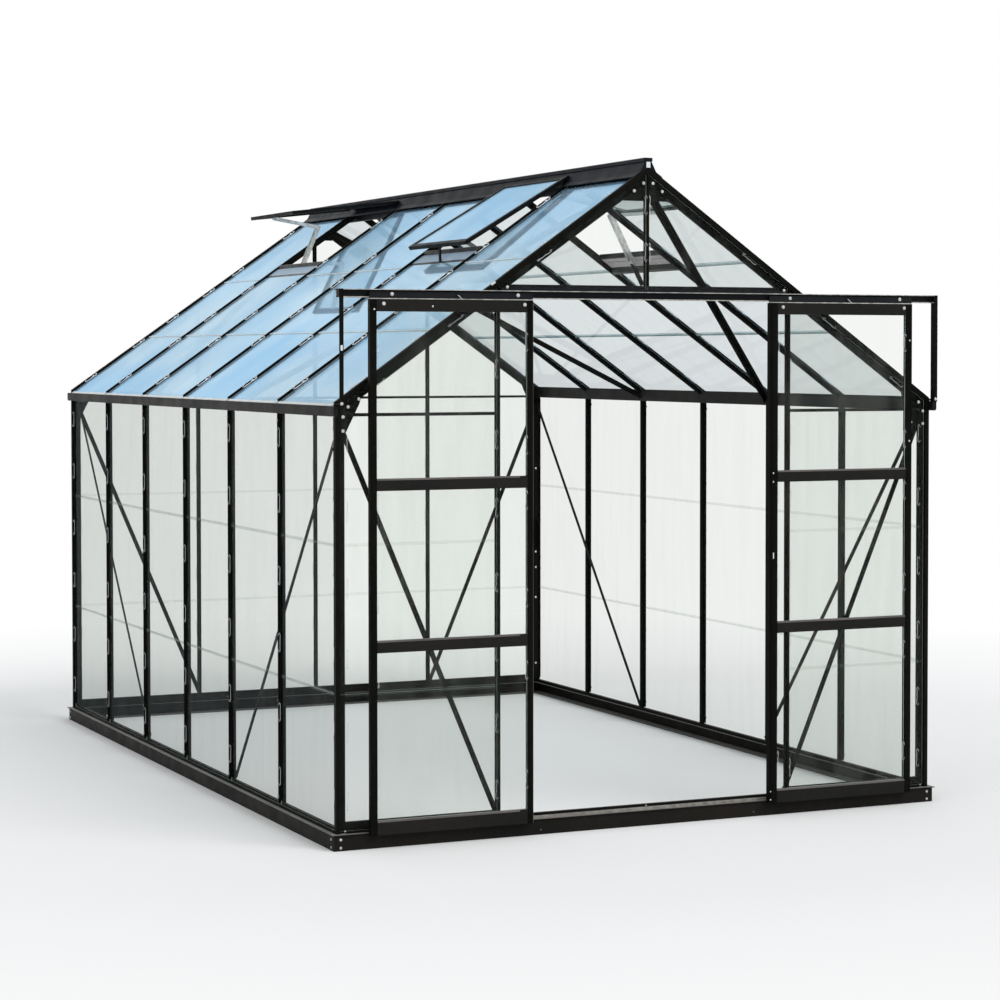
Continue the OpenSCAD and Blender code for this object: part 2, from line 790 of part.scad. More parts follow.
module vent_glass() color(clear_glass, 0.35) site() {
    vent_pane(vent_open_rf, vent_bays[0]);
    vent_pane(vent_open_rr, vent_bays[1]);
    left_side() vent_pane(vent_open_lf, vent_bays[0]);
    left_side() vent_pane(vent_open_lr, vent_bays[1]);
}

// Sill plate between two bars, with an upstand at its upper edge and a beam under its lower one
module vent_sill(bay_index) {
    y0 = bar_y(bay_index);
    y1 = bar_y(bay_index + 1);
    back = seat - fit;
    beam_x = vent_sill_low - vent_sill_t;
    beam_in = flange_w / 2 + fit;
    slope_strip(vent_sill_top, vent_sill_low, back - glass_t, back, y0 + glass_gap, y1 - glass_gap);
    slope_strip(vent_sill_top, vent_sill_top + glass_t, -glass_t, back, y0 + glass_gap, y1 - glass_gap);
    slope_strip(beam_x, vent_sill_low, back - glass_t, frame_d, y0 + beam_in, y1 - beam_in);
}

module vent_sills() color(black) site() both_sides()
    for (i = vent_bays) vent_sill(i);

// ---- Vent openers ----

// A flat arm's outline with round ends
module arm_outline(from, to) {
    bar_outline(from, to, arm_w);
    translate(from) circle(arm_w / 2, $fn = 32);
    translate(to) circle(arm_w / 2, $fn = 32);
}

function opener_foot() = let (x = vent_sill_top + foot_in) [x, under(x, foot_d)];
function opener_elbow(open) = vent_point(open, elbow_x, -elbow_d);

// Automatic opener: a foot under the sill, two lower arms, and two upper arms to a block under the vent
module vent_opener(open, bay_index) {
    y = bar_y(bay_index) + bay / 2;
    half = opener_w / 2;
    inner = half - fit;
    foot = opener_foot();
    elbow = opener_elbow(open);
    tip_x = vent_l - vent_rail + arm_w / 2;
    tip_z = -vent_below - fit - arm_w / 2;
    slope_strip(foot[0] - arm_w / 2, foot[0] + arm_w / 2, seat, foot_d + arm_w / 2, y - inner, y + inner);
    for (low = [y - half - arm_t, y + half])
        slab_y(low, low + arm_t) arm_outline(foot, elbow);
    for (low = [y - inner, y + inner - arm_t])
        slab_y(low, low + arm_t) arm_outline(elbow, vent_point(open, tip_x, tip_z));
    grip = arm_w / 3;
    reach = inner - arm_t / 2;
    vent_place(bay_index, open)
        block([tip_x - grip, -reach, tip_z - grip], [tip_x + grip, reach, tip_z + grip]);
}

module vent_openers() color(zinc) site() {
    vent_opener(vent_open_rf, vent_bays[0]);
    left_side() vent_opener(vent_open_lr, vent_bays[1]);
}

// Cylinder under an opener's foot, in line with its lower arms
module opener_cylinder(open, bay_index) {
    foot = opener_foot();
    elbow = opener_elbow(open);
    drop = foot - elbow;
    rim = foot_d + arm_w / 2 + fit;
    intersection() {
        translate([foot[0], bar_y(bay_index) + bay / 2, foot[1]]) rotate([0, atan2(drop[0], drop[1]), 0])
            cylinder(h = cylinder_l, r = cylinder_r, $fn = 48);
        slope_strip(0, half_w, rim, eave_h, bar_y(bay_index), bar_y(bay_index + 1));
    }
}

module opener_cylinders() color(black) site() {
    opener_cylinder(vent_open_rf, vent_bays[0]);
    left_side() opener_cylinder(vent_open_lr, vent_bays[1]);
}

// Stay of a vent that opens by hand, from the sill plate up to the vent's lower rail
module vent_stay(open, bay_index) {
    y = bar_y(bay_index) + bay / 2;
    x = vent_sill_low - vent_sill_t;
    d = seat - glass_t - 2 * fit;
    head = vent_l - vent_rail / 2;
    head_z = -vent_below - fit;
    slab_y(y - stay_t / 2, y + stay_t / 2)
        polygon([
            [x - arm_t, under(x - arm_t, d)], [x + arm_t, under(x + arm_t, d)],
            vent_point(open, head + arm_t, head_z), vent_point(open, head - arm_t, head_z)
        ]);
}

module vent_stays() color(black) site() {
    vent_stay(vent_open_rr, vent_bays[1]);
    left_side() vent_stay(vent_open_lf, vent_bays[0]);
}

// ---- Doors ----

// Places a leaf drawn from its trailing edge along +X
module at_left_leaf() site() translate([-left_rest, 0, 0]) children();
module at_right_leaf() site() translate([right_rest, 0, 0]) mirror([1, 0, 0]) children();

// Trailing stile, and a leading one of the given width
module leaf_stiles(lead_w) {
    block([0, leaf_front, leaf_z], [stile_w, leaf_back, leaf_top]);
    block([leaf_w - lead_w, leaf_front, leaf_z], [leaf_w, leaf_back, leaf_top]);
}

module leaf_rails(lead_w) {
    inset = (leaf_t - door_rail_t) / 2;
    for (span = rail_spans)
        block(
            [stile_w, leaf_front + inset, span[0]],
            [leaf_w - lead_w, leaf_back - inset, span[1]]
        );
}

module leaf_glass(lead_w) {
    y = (leaf_front + leaf_back) / 2;
    for (k = [0 : len(rail_spans) - 2])
        block(
            [stile_w + fit, y - glass_t / 2, rail_spans[k][1] + fit],
            [leaf_w - lead_w - fit, y + glass_t / 2, rail_spans[k + 1][0] - fit]
        );
}

// Cover plate over the rail's top edge, with two wheels behind it that run on the track's ledge
module leaf_rollers(wheel_in, wheel_out) {
    cover_front = leaf_front + door_rail_t / 2 - wheel_w / 2;
    cover_back = cover_front + cover_t;
    wheel_back = -track_web_y - track_t - (track_ledge - wheel_w) / 2;
    axle_z = track_low + track_t + fit + wheel_r;
    block([0, cover_front, leaf_top], [leaf_w, cover_back, leaf_top + track_h]);
    for (x = [wheel_in, leaf_w - wheel_out])
        translate([x, wheel_back, axle_z]) rotate([90, 0, 0]) {
            cylinder(h = wheel_w, r = wheel_r, $fn = 48);
            cylinder(h = wheel_back - cover_back, r = wheel_r / 2, $fn = 32);
        }
}

// Long angle strip on the leading stile's edge, and a handle on it: a plate with its edge turned out
module leaf_handle() {
    edge_x = leaf_w + pull_w;
    top = handle_z + handle_l;
    block([leaf_w, leaf_front, pull_z], [edge_x, leaf_front + cover_t, pull_z + pull_l]);
    block([leaf_w, leaf_front, pull_z], [leaf_w + cover_t, leaf_back, pull_z + pull_l]);
    block([leaf_w, leaf_front - cover_t, handle_z], [edge_x, leaf_front, top]);
    block([edge_x - cover_t, leaf_front - cover_t - grip, handle_z], [edge_x, leaf_front, top]);
}

module door_left_stiles() color(black) at_left_leaf() leaf_stiles(left_lead_w);
module door_left_rails() color(dark_brown) at_left_leaf() leaf_rails(left_lead_w);
module door_left_glass() color(clear_glass, 0.35) at_left_leaf() leaf_glass(left_lead_w);
module door_left_rollers() color(black) at_left_leaf() leaf_rollers(wheel_in_left, wheel_out_left);
module door_left_handle() color(black) at_left_leaf() leaf_handle();
module door_right_stiles() color(black) at_right_leaf() leaf_stiles(right_lead_w);
module door_right_rails() color(dark_brown) at_right_leaf() leaf_rails(right_lead_w);
module door_right_glass() color(clear_glass, 0.35) at_right_leaf() leaf_glass(right_lead_w);
module door_right_rollers() color(black) at_right_leaf() leaf_rollers(wheel_in_right, wheel_out_right);

base();
gable_sills();
side_sills();
corner_posts();
left_wall_bars();
right_wall_bars();
left_eave_gutter();
right_eave_gutter();
gutter_outlets();
ridge_beam();
gable_rafters();
left_roof_bars();
right_roof_bars();
front_gable_posts();
rear_gable_posts();
front_cross_beam();
eave_rails();
door_track();
track_struts();
gable_gussets();
gable_braces();
side_braces();
roof_braces();
left_wall_glass();
right_wall_glass();
front_gable_glass();
rear_gable_glass();
left_roof_glass();
right_roof_glass();
vent_frames();
vent_glass();
vent_sills();
vent_openers();
opener_cylinders();
vent_stays();
door_left_stiles();
door_left_rails();
door_left_glass();
door_left_rollers();
door_left_handle();
door_right_stiles();
door_right_rails();
door_right_glass();
door_right_rollers();
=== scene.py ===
"""Looks of a six-bay cold house with a glazed roof and two sliding door leaves.

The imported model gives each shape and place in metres, with the doorway towards -Y. This script dresses
its nodes with finishes and adds the small hardware: bolts, wire clips, lap strips, seals, caps and lips.
"""

import logging
import math
from collections.abc import Callable, Iterable, Sequence
from dataclasses import dataclass
from enum import Enum

import bmesh
import bpy
from mathutils import Euler, Matrix, Vector


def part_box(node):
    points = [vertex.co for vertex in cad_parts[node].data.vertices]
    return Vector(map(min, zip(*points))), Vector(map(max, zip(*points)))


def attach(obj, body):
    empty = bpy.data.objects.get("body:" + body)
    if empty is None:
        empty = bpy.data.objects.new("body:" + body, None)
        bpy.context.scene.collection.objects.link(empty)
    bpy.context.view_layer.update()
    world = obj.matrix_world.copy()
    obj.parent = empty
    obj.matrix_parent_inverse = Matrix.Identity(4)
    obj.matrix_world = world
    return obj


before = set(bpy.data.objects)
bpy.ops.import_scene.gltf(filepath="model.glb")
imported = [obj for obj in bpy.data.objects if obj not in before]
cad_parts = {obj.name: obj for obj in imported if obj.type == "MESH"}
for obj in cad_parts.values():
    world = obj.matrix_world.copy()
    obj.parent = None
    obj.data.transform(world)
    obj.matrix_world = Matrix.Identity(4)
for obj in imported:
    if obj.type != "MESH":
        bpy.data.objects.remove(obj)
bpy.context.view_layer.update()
LOG = logging.getLogger("cold_house")

Colour = tuple[float, float, float]
Point = tuple[float, float, float]
Pair = tuple[float, float]
Bar = tuple[Sequence[float], Sequence[float]]
Socket = bpy.types.NodeSocket

WHITE = (1.0, 1.0, 1.0, 1.0)
SIDES = (-1, 1)
ACROSS = Vector((1.0, 0.0, 0.0))
ALONG = Vector((0.0, 1.0, 0.0))
UPRIGHT = Vector((0.0, 0.0, 1.0))


class Slot(Enum):
    """Material slots of the part's record."""

    FRAME = "black_aluminium"
    BASE = "base_steel"
    PLASTIC = "black_plastic"
    BRIGHT = "silver_metal"
    GLASS = "clear_glass"


class Body(Enum):
    """Bodies that pieces ride on."""

    HOUSE = "house"
    DOOR_LEFT = "door_left"
    DOOR_RIGHT = "door_right"


def linear(tone: Colour) -> tuple[float, float, float, float]:
    """Turn a tone written as 0 to 255 display values into a linear colour.

    Args:
        tone: red, green and blue as a display shows them.

    Returns:
        The linear red, green and blue, with an alpha of 1.
    """
    shares = [part / 255 for part in tone]
    curve = [s / 12.92 if s <= 0.04045 else ((s + 0.055) / 1.055) ** 2.4 for s in shares]
    return (curve[0], curve[1], curve[2], 1.0)


@dataclass(frozen=True)
class Grain:
    """Noise that marks a surface: its spots in a metre, its octaves and the part of its range that shows."""

    scale: float
    detail: float
    low: float = 0.3
    high: float = 0.7
    stretch: Colour = (1.0, 1.0, 1.0)


@dataclass(frozen=True)
class Skin:
    """Fine surface of a finish: how its gloss varies and how its bump stands."""

    wear: Grain
    softer: float
    rougher: float
    pores: Grain
    strength: float
    depth: float


class ShaderBench:
    """Adds and links the shader nodes of one material, or of the world."""

    def __init__(self, name: str, kind: str = "Material") -> None:
        """Start an empty material or world.

        Args:
            name: its name.
            kind: "Material" or "World".
        """
        self.made = (bpy.data.materials if kind == "Material" else bpy.data.worlds).new(name)
        self.made.use_nodes = True
        self.tree = self.made.node_tree
        self.tree.nodes.clear()
        self.output = self.add("Output" + kind)
        self.place = self.add("TexCoord")

    def add(self, kind: str, **values: object) -> bpy.types.Node:
        """Add a node and set its sockets and properties.

        Args:
            kind: the node's type, without its ShaderNode prefix.
            **values: socket values by name with _ for a space, or properties where no socket matches.

        Returns:
            The new node.
        """
        node = self.tree.nodes.new("ShaderNode" + kind)
        for name, value in values.items():
            label = name.replace("_", " ")
            socket = next((s for s in node.inputs if s.name == label and s.enabled), None)
            if socket is not None:
                socket.default_value = value
            else:
                setattr(node, name, value)
        return node

    def join(self, start: Socket, end: Socket) -> None:
        """Link one socket to another."""
        self.tree.links.new(start, end)

    def noise(self, grain: Grain) -> Socket:
        """Add noise in the piece's own coordinates.

        Args:
            grain: how coarse it is and how it is stretched.

        Returns:
            The noise's value.
        """
        mapping = self.add("Mapping", Scale=grain.stretch)
        texture = self.add("TexNoise", Scale=grain.scale, Detail=grain.detail)
        self.join(self.place.outputs["Object"], mapping.inputs["Vector"])
        self.join(mapping.outputs["Vector"], texture.inputs["Vector"])
        return texture.outputs["Fac"]

    def ranged(self, source: Socket, start: Pair, end: Pair) -> Socket:
        """Map a value from one range to another, with ends that hold.

        Args:
            source: the value.
            start: the source's low and high ends.
            end: the result's low and high ends.

        Returns:
            The mapped value.
        """
        node = self.add("MapRange", From_Min=start[0], From_Max=start[1], To_Min=end[0], To_Max=end[1])
        self.join(source, node.inputs["Value"])
        return node.outputs["Result"]

    def marks(self, grain: Grain, low: float, high: float) -> Socket:
        """Give noise whose shown range runs from a low to a high value."""
        return self.ranged(self.noise(grain), (grain.low, grain.high), (low, high))

    def blend(self, share: Socket, low: Colour | Socket, high: Colour) -> Socket:
        """Blend two colours by a share.

        Args:
            share: 0 for the low colour, 1 for the high one.
            low: the low tone, or a colour socket.
            high: the high tone.

        Returns:
            The blended colour.
        """
        node = self.add("Mix", data_type="RGBA")
        if isinstance(low, tuple):
            node.inputs[6].default_value = linear(low)
        else:
            self.join(low, node.inputs[6])
        node.inputs[7].default_value = linear(high)
        self.join(share, node.inputs[0])
        return node.outputs[2]

    def work(self, operation: str, *values: float | Socket) -> Socket:
        """Work out one step of arithmetic.

        Args:
            operation: the step's name.
            *values: its numbers, or sockets to link.

        Returns:
            The result.
        """
        node = self.add("Math", operation=operation)
        for socket, value in zip(node.inputs, values):
            if isinstance(value, float):
                socket.default_value = value
            else:
                self.join(value, socket)
        return node.outputs[0]

    def cover(self, share: Socket, under: Socket, over: Socket) -> Socket:
        """Lay one shader over another.

        Args:
            share: the upper shader's share.
            under: the lower shader.
            over: the upper shader.

        Returns:
            The mixed shader.
        """
        node = self.add("MixShader")
        for index, part in enumerate((share, under, over)):
            self.join(part, node.inputs[index])
        return node.outputs[0]

    def part(self, source: str, axis: int) -> Socket:
        """Take one axis of a coordinate.

        Args:
            source: "Object" for the place on the piece, "Normal" for the way that its surface faces.
            axis: 0 across the house, 1 along it, 2 up.

        Returns:
            The value on that axis.
        """
        node = self.add("SeparateXYZ")
        self.join(self.place.outputs[source], node.inputs[0])
        return node.outputs[axis]

    def seen(self) -> Socket:
        """Tell the rays that see a surface from the rays that light things.

        Returns:
            1 for camera, glossy and transmission rays, and 0 for the others.
        """
        rays = self.add("LightPath").outputs
        gloss = self.work("MAXIMUM", rays["Is Camera Ray"], rays["Is Glossy Ray"])
        return self.work("MAXIMUM", gloss, rays["Is Transmission Ray"])

    def bump(self, height: Socket, strength: float, depth: float) -> Socket:
        """Turn a height into a bumped normal.

        Args:
            height: the height.
            strength: the bump's strength.
            depth: its depth in metres.

        Returns:
            The bumped normal.
        """
        node = self.add("Bump", Strength=strength, Distance=depth)
        self.join(height, node.inputs["Height"])
        return node.outputs["Normal"]

    def coat(self, tone: Socket, roughness: float, skin: Skin, **values: float) -> bpy.types.Material:
        """Finish the material as one principled surface.

        Args:
            tone: its colour.
            roughness: its middle roughness.
            skin: how its gloss varies and how its bump stands.
            **values: other values of the surface's own sockets.

        Returns:
            The finished material.
        """
        paint = self.add("BsdfPrincipled", **values)
        self.join(tone, paint.inputs["Base Color"])
        rough = self.marks(skin.wear, roughness - skin.softer, roughness + skin.rougher)
        self.join(rough, paint.inputs["Roughness"])
        self.join(self.bump(self.noise(skin.pores), skin.strength, skin.depth), paint.inputs["Normal"])
        return self.finish(paint.outputs[0])

    def finish(self, surface: Socket) -> bpy.types.Material | bpy.types.World:
        """Link the surface to the output and give what was made."""
        self.join(surface, self.output.inputs["Surface"])
        return self.made


@dataclass(frozen=True)
class PowderCoat:
    """Satin powder coat on metal: two close tones, an orange-peel bump, dust on faces that look up that also
    paints sky light on them, and a painted highlight on flat tops.
    """

    name: str
    cool: Colour
    warm: Colour
    dust: Colour = (96, 92, 84)
    dust_and_skylight_share: float = 0.12
    roughness: float = 0.42
    gloss: float = 0.14
    top: Colour = (150, 150, 145)
    top_highlight_share: float = 0.0
    lying: tuple[Pair, Pair] = ((0.2, 0.95), (0.25, 1.0))
    ledge: Pair = (0.85, 0.97)
    thin_dust: float = 0.15
    patches: Grain = Grain(2.3, 3.0, 0.36, 0.64)
    specks: Grain = Grain(38.0, 6.0, 0.48, 0.78)
    skin: Skin = Skin(Grain(11.0, 5.0), 0.07, 0.1, Grain(620.0, 2.0), 0.10, 0.0006)

    def make(self) -> bpy.types.Material:
        """Build the coat's material.

        Returns:
            The material.
        """
        bench = ShaderBench(self.name)
        upward = bench.part("Normal", 2)
        lying = bench.ranged(upward, *self.lying)
        # Dust on faces that look up, partly real dust and partly painted sky light on those faces.
        dusty = bench.work("MULTIPLY", bench.marks(self.specks, self.thin_dust, 1), lying)
        body = bench.blend(bench.marks(self.patches, 0, 1), self.cool, self.warm)
        coated = bench.blend(bench.work("MULTIPLY", dusty, self.dust_and_skylight_share), body, self.dust)
        # Painted highlight: flat tops are lightened towards the top tone.
        top_highlight = bench.ranged(upward, self.ledge, (0, self.top_highlight_share))
        tone = bench.blend(top_highlight, coated, self.top)
        return bench.coat(tone, self.roughness, self.skin, Specular_IOR_Level=self.gloss)


@dataclass(frozen=True)
class SillCoat:
    """Coat of the vent sills: black, with a pale worn plate between the two |x| lines and a painted sky
    reflection on the plate's faces that look up.
    """

    name: str
    body: Colour
    plate: Colour
    sky: Colour
    inner: float = 0.4155
    outer: float = 0.4645
    scuffed: float = 0.72
    upward: Pair = (-0.1, 0.1)
    roughness: float = 0.4
    gloss: float = 0.2
    scuffs: Grain = Grain(30.0, 5.0, 0.4, 0.75)
    skin: Skin = Skin(Grain(14.0, 4.0), 0.08, 0.1, Grain(500.0, 2.0), 0.1, 0.0005)

    def make(self) -> bpy.types.Material:
        """Build the sill's material.

        Returns:
            The material.
        """
        bench = ShaderBench(self.name)
        across = bench.work("ABSOLUTE", bench.part("Object", 0))
        band = bench.work("COMPARE", across, (self.inner + self.outer) / 2, (self.outer - self.inner) / 2)
        share = bench.work("MULTIPLY", band, bench.marks(self.scuffs, 1.0, self.scuffed))
        # Painted sky reflection: the plate's faces that look up take the sky tone.
        glint = bench.work("MULTIPLY", share, bench.ranged(bench.part("Normal", 2), self.upward, (0, 1)))
        tone = bench.blend(glint, bench.blend(share, self.body, self.plate), self.sky)
        return bench.coat(tone, self.roughness, self.skin, Specular_IOR_Level=self.gloss)


@dataclass(frozen=True)
class BareMetal:
    """Unpainted metal, such as zinc plate or stainless wire, with brushed streaks and dull spots."""

    name: str
    bright: Colour
    dull: Colour
    roughness: float = 0.34
    metallic: float = 0.85
    spots: Grain = Grain(45.0, 4.0, 0.35, 0.7)
    streaks: Grain = Grain(90.0, 3.0, stretch=(1.0, 1.0, 9.0))
    brush: Grain = Grain(300.0, 2.0, stretch=(1.0, 1.0, 9.0))
    softer: float = 0.1
    rougher: float = 0.12
    strength: float = 0.08
    depth: float = 0.0004

    def make(self) -> bpy.types.Material:
        """Build the metal's material.

        Returns:
            The material.
        """
        bench = ShaderBench(self.name)
        tone = bench.blend(bench.marks(self.spots, 0, 1), self.bright, self.dull)
        skin = Skin(self.streaks, self.softer, self.rougher, self.brush, self.strength, self.depth)
        return bench.coat(tone, self.roughness, skin, Metallic=self.metallic)


@dataclass(frozen=True)
class MouldedPlastic:
    """Moulded plastic or rubber with a fine grain."""

    name: str
    body: Colour
    worn: Colour
    roughness: float = 0.5
    gloss: float = 0.3
    scuffs: Grain = Grain(24.0, 4.0, 0.4, 0.75)
    skin: Skin = Skin(Grain(60.0, 4.0), 0.06, 0.1, Grain(900.0, 2.0), 0.12, 0.0003)

    def make(self) -> bpy.types.Material:
        """Build the plastic's material.

        Returns:
            The material.
        """
        bench = ShaderBench(self.name)
        tone = bench.blend(bench.marks(self.scuffs, 0, 1), self.body, self.worn)
        return bench.coat(tone, self.roughness, self.skin, Specular_IOR_Level=self.gloss)


class PaneFace(Enum):
    """Axis that a pane's broad faces look along, which tells them from its cut edges."""

    SIDE = 0
    GABLE = 1
    ROOF = 2


UPRIGHT_RAIN = Grain(1.6, 6.0, 0.46, 0.82, (9.0, 9.0, 1.2))
ROOF_RAIN = Grain(1.6, 6.0, 0.46, 0.82, (1.6, 9.0, 1.6))


@dataclass(frozen=True)
class HorticulturalGlass:
    """Clear 3 mm glass with a slight tint, a gloss of its own tone, faint rain marks and pale cut edges, and
    on the roof a painted sky reflection.
    """

    name: str
    face: PaneFace
    tint: Colour = (252, 253, 252)
    gloss: Colour = (84, 90, 92)
    sky: Colour = (165, 210, 243)
    edge: Colour = (196, 214, 203)
    pale_edge: Colour = (150, 176, 160)
    index: float = 1.52
    cloud: Colour = (214, 236, 248)
    sky_reflection_share: float = 0.0
    dirt: float = 0.035
    dirt_tone: Colour = (205, 208, 198)
    rain: Grain = UPRIGHT_RAIN
    dry: float = 0.1
    gloss_blur: float = 0.015
    rim_blur: float = 0.25
    wave_strength: float = 0.05
    wave_depth: float = 0.004
    chipped: float = 0.5
    waves: Grain = Grain(5.0, 1.0)
    chips: Grain = Grain(40.0, 3.0, 0.35, 0.7)
    clouds: Grain = Grain(1.1, 3.0, 0.40, 0.66, (1.0, 0.7, 1.0))
    thin: Grain = Grain(0.8, 2.0, 0.36, 0.64)
    broad: float = 0.7
    hazy: float = 0.4
    sky_blurs: Pair = (0.02, 0.5)
    patchy: Pair = (-0.3, 0.02)
    upward: Pair = (0.0, 0.02)
    by_gable: tuple[Pair, Pair] = ((-1.9, -1.0), (0.62, 1.0))

    def make(self) -> bpy.types.Material:
        """Build the glass's material.

        Returns:
            The material.
        """
        bench = ShaderBench(self.name)
        clear = bench.add("BsdfTransparent", Color=linear(self.tint))
        gloss = bench.add("BsdfGlossy", Color=linear(self.gloss), Roughness=self.gloss_blur)
        waves = bench.bump(bench.noise(self.waves), self.wave_strength, self.wave_depth)
        bench.join(waves, gloss.inputs["Normal"])
        outer = bench.work("SUBTRACT", 1.0, bench.add("NewGeometry").outputs["Backfacing"])
        shine = bench.work("MULTIPLY", bench.add("Fresnel", IOR=self.index).outputs[0], outer)
        pane = bench.cover(shine, clear.outputs[0], gloss.outputs[0])
        if self.face is PaneFace.ROOF:
            pane = self.reflect_sky(bench, pane)
        streaks = bench.marks(self.rain, self.dry, 1)
        film = bench.add("BsdfDiffuse", Color=linear(self.dirt_tone))
        dusty = bench.cover(bench.work("MULTIPLY", streaks, self.dirt), pane, film.outputs[0])
        slant = bench.work("ABSOLUTE", bench.part("Normal", self.face.value))
        cut = bench.work("LESS_THAN", slant, self.broad)
        rim = bench.add("BsdfPrincipled", Roughness=self.rim_blur)
        tone = bench.blend(bench.marks(self.chips, 0, self.chipped), self.edge, self.pale_edge)
        bench.join(tone, rim.inputs["Base Color"])
        return bench.finish(bench.cover(cut, dusty, rim.outputs[0]))

    def reflect_sky(self, bench: ShaderBench, pane: Socket) -> Socket:
        """Lay a painted reflection of a soft sky with clouds over the faces that look up, thinner in places
        and by the front gable.

        Args:
            bench: the bench that builds the glass.
            pane: the clear pane's shader.

        Returns:
            The pane's shader with the sky over it.
        """
        tone = bench.blend(bench.marks(self.clouds, 0, 1), self.sky, self.cloud)
        sky = bench.add("MixShader", Fac=self.hazy)
        for index, roughness in enumerate(self.sky_blurs, 1):
            layer = bench.add("BsdfGlossy", Roughness=roughness)
            bench.join(tone, layer.inputs["Color"])
            bench.join(layer.outputs[0], sky.inputs[index])
        patchy = bench.marks(self.thin, *(self.sky_reflection_share + step for step in self.patchy))
        upward = bench.ranged(bench.part("Normal", 2), self.upward, (0.0, 1.0))
        inward = bench.ranged(bench.part("Object", 1), *self.by_gable)
        share = bench.work("MULTIPLY", bench.work("MULTIPLY", patchy, upward), inward)
        return bench.cover(share, pane, sky.outputs[0])


class Palette:
    """All finishes of the house, each made once."""

    def __init__(self) -> None:
        """Make every finish."""
        self.bars = PowderCoat("bar_coat", (14, 17, 15), (18, 19, 16), gloss=0.02).make()
        self.posts = PowderCoat("post_coat", (14, 16, 13), (19, 19, 16), gloss=0.02).make()
        self.braces = PowderCoat("brace_coat", (15, 17, 16), (21, 21, 18), gloss=0.03).make()
        # Base: its browner tone is painted sunlight on a black powder coat, and its flat tops get a painted
        # highlight.
        grit = (104, 100, 92)
        self.base = PowderCoat(
            "base_coat", (26, 26, 25), (34, 31, 28), grit, gloss=0.03, top_highlight_share=0.7
        ).make()
        # Track: its flat tops get a painted highlight.
        self.track = PowderCoat("track_coat", (27, 30, 34), (33, 34, 35), gloss=0.04, top_highlight_share=0.55).make()
        self.beam = PowderCoat("beam_coat", (34, 37, 42), (38, 39, 41), gloss=0.05).make()
        # Door rails: their lighter, browner tone is painted sunlight on the black powder coat, and their flat
        # tops get a painted highlight.
        self.rails = PowderCoat(
            "door_rail_coat", (28, 29, 28), (35, 33, 31), gloss=0.04, top_highlight_share=0.4
        ).make()
        self.stiles = PowderCoat("door_stile_coat", (10, 12, 10), (15, 16, 13), gloss=0.02).make()
        # Gutters: their flat tops get a painted highlight.
        self.gutter = PowderCoat("gutter_coat", (25, 27, 27), (31, 31, 28), gloss=0.05, top_highlight_share=0.4).make()
        # Ridge: its blue tone is a painted sky reflection on the black powder coat.
        self.ridge = PowderCoat("ridge_coat", (13, 20, 29), (18, 23, 29), gloss=0.06).make()
        self.vents = PowderCoat("vent_coat", (15, 18, 20), (20, 20, 19), gloss=0.04).make()
        # Pale coat for strips that paint highlights: the base lip, the ridge's top edges, the door rails'
        # tops and the left leaf's leading edge; the base studs wear it too.
        self.lip = PowderCoat("painted_highlight_coat", (104, 98, 98), (84, 80, 80), (150, 140, 140), gloss=0.1).make()
        # The sill coat's third tone is a painted sky reflection on the plate.
        self.sills = SillCoat("sill_coat", (18, 20, 22), (186, 178, 182), (150, 178, 200)).make()
        self.plastic = MouldedPlastic("black_moulding", (18, 20, 20), (28, 29, 28), gloss=0.1).make()
        self.rubber = MouldedPlastic("black_rubber", (8, 9, 8), (14, 15, 13), 0.75, 0.03).make()
        # White plastic parts; also the strips that paint the highlight along the roof panes' eave edge.
        self.white = MouldedPlastic("white_moulding", (226, 229, 229), (200, 204, 204)).make()
        # Pale beads that paint the highlight line along the roof bars.
        self.seal = MouldedPlastic("pale_bead_highlight", (120, 126, 128), (88, 94, 98)).make()
        self.zinc = BareMetal("zinc_plate", (214, 216, 214), (160, 162, 160), metallic=0.6).make()
        self.wire = BareMetal("stainless_wire", (246, 247, 246), (214, 216, 215), 0.4, 0.25).make()
        # Pale bare metal for strips that paint the highlights on the track's edges and at the foot of the
        # door's roller plate.
        self.edge_highlight = BareMetal("pale_edge", (190, 189, 184), (126, 124, 120), 0.4, 0.4).make()
        self.threshold = BareMetal("worn_ledge", (150, 146, 140), (112, 108, 104), 0.55, 0.15).make()
        self.side_glass = HorticulturalGlass("side_glass", PaneFace.SIDE).make()
        self.gable_glass = HorticulturalGlass("gable_glass", PaneFace.GABLE).make()
        # The roof glass gets a painted sky reflection with clouds over its upward faces.
        self.roof_glass = HorticulturalGlass(
            "roof_glass",
            PaneFace.ROOF,
            tint=(247, 250, 251),
            gloss=(150, 158, 152),
            cloud=(210, 235, 250),
            sky_reflection_share=0.84,
            rain=ROOF_RAIN,
        ).make()


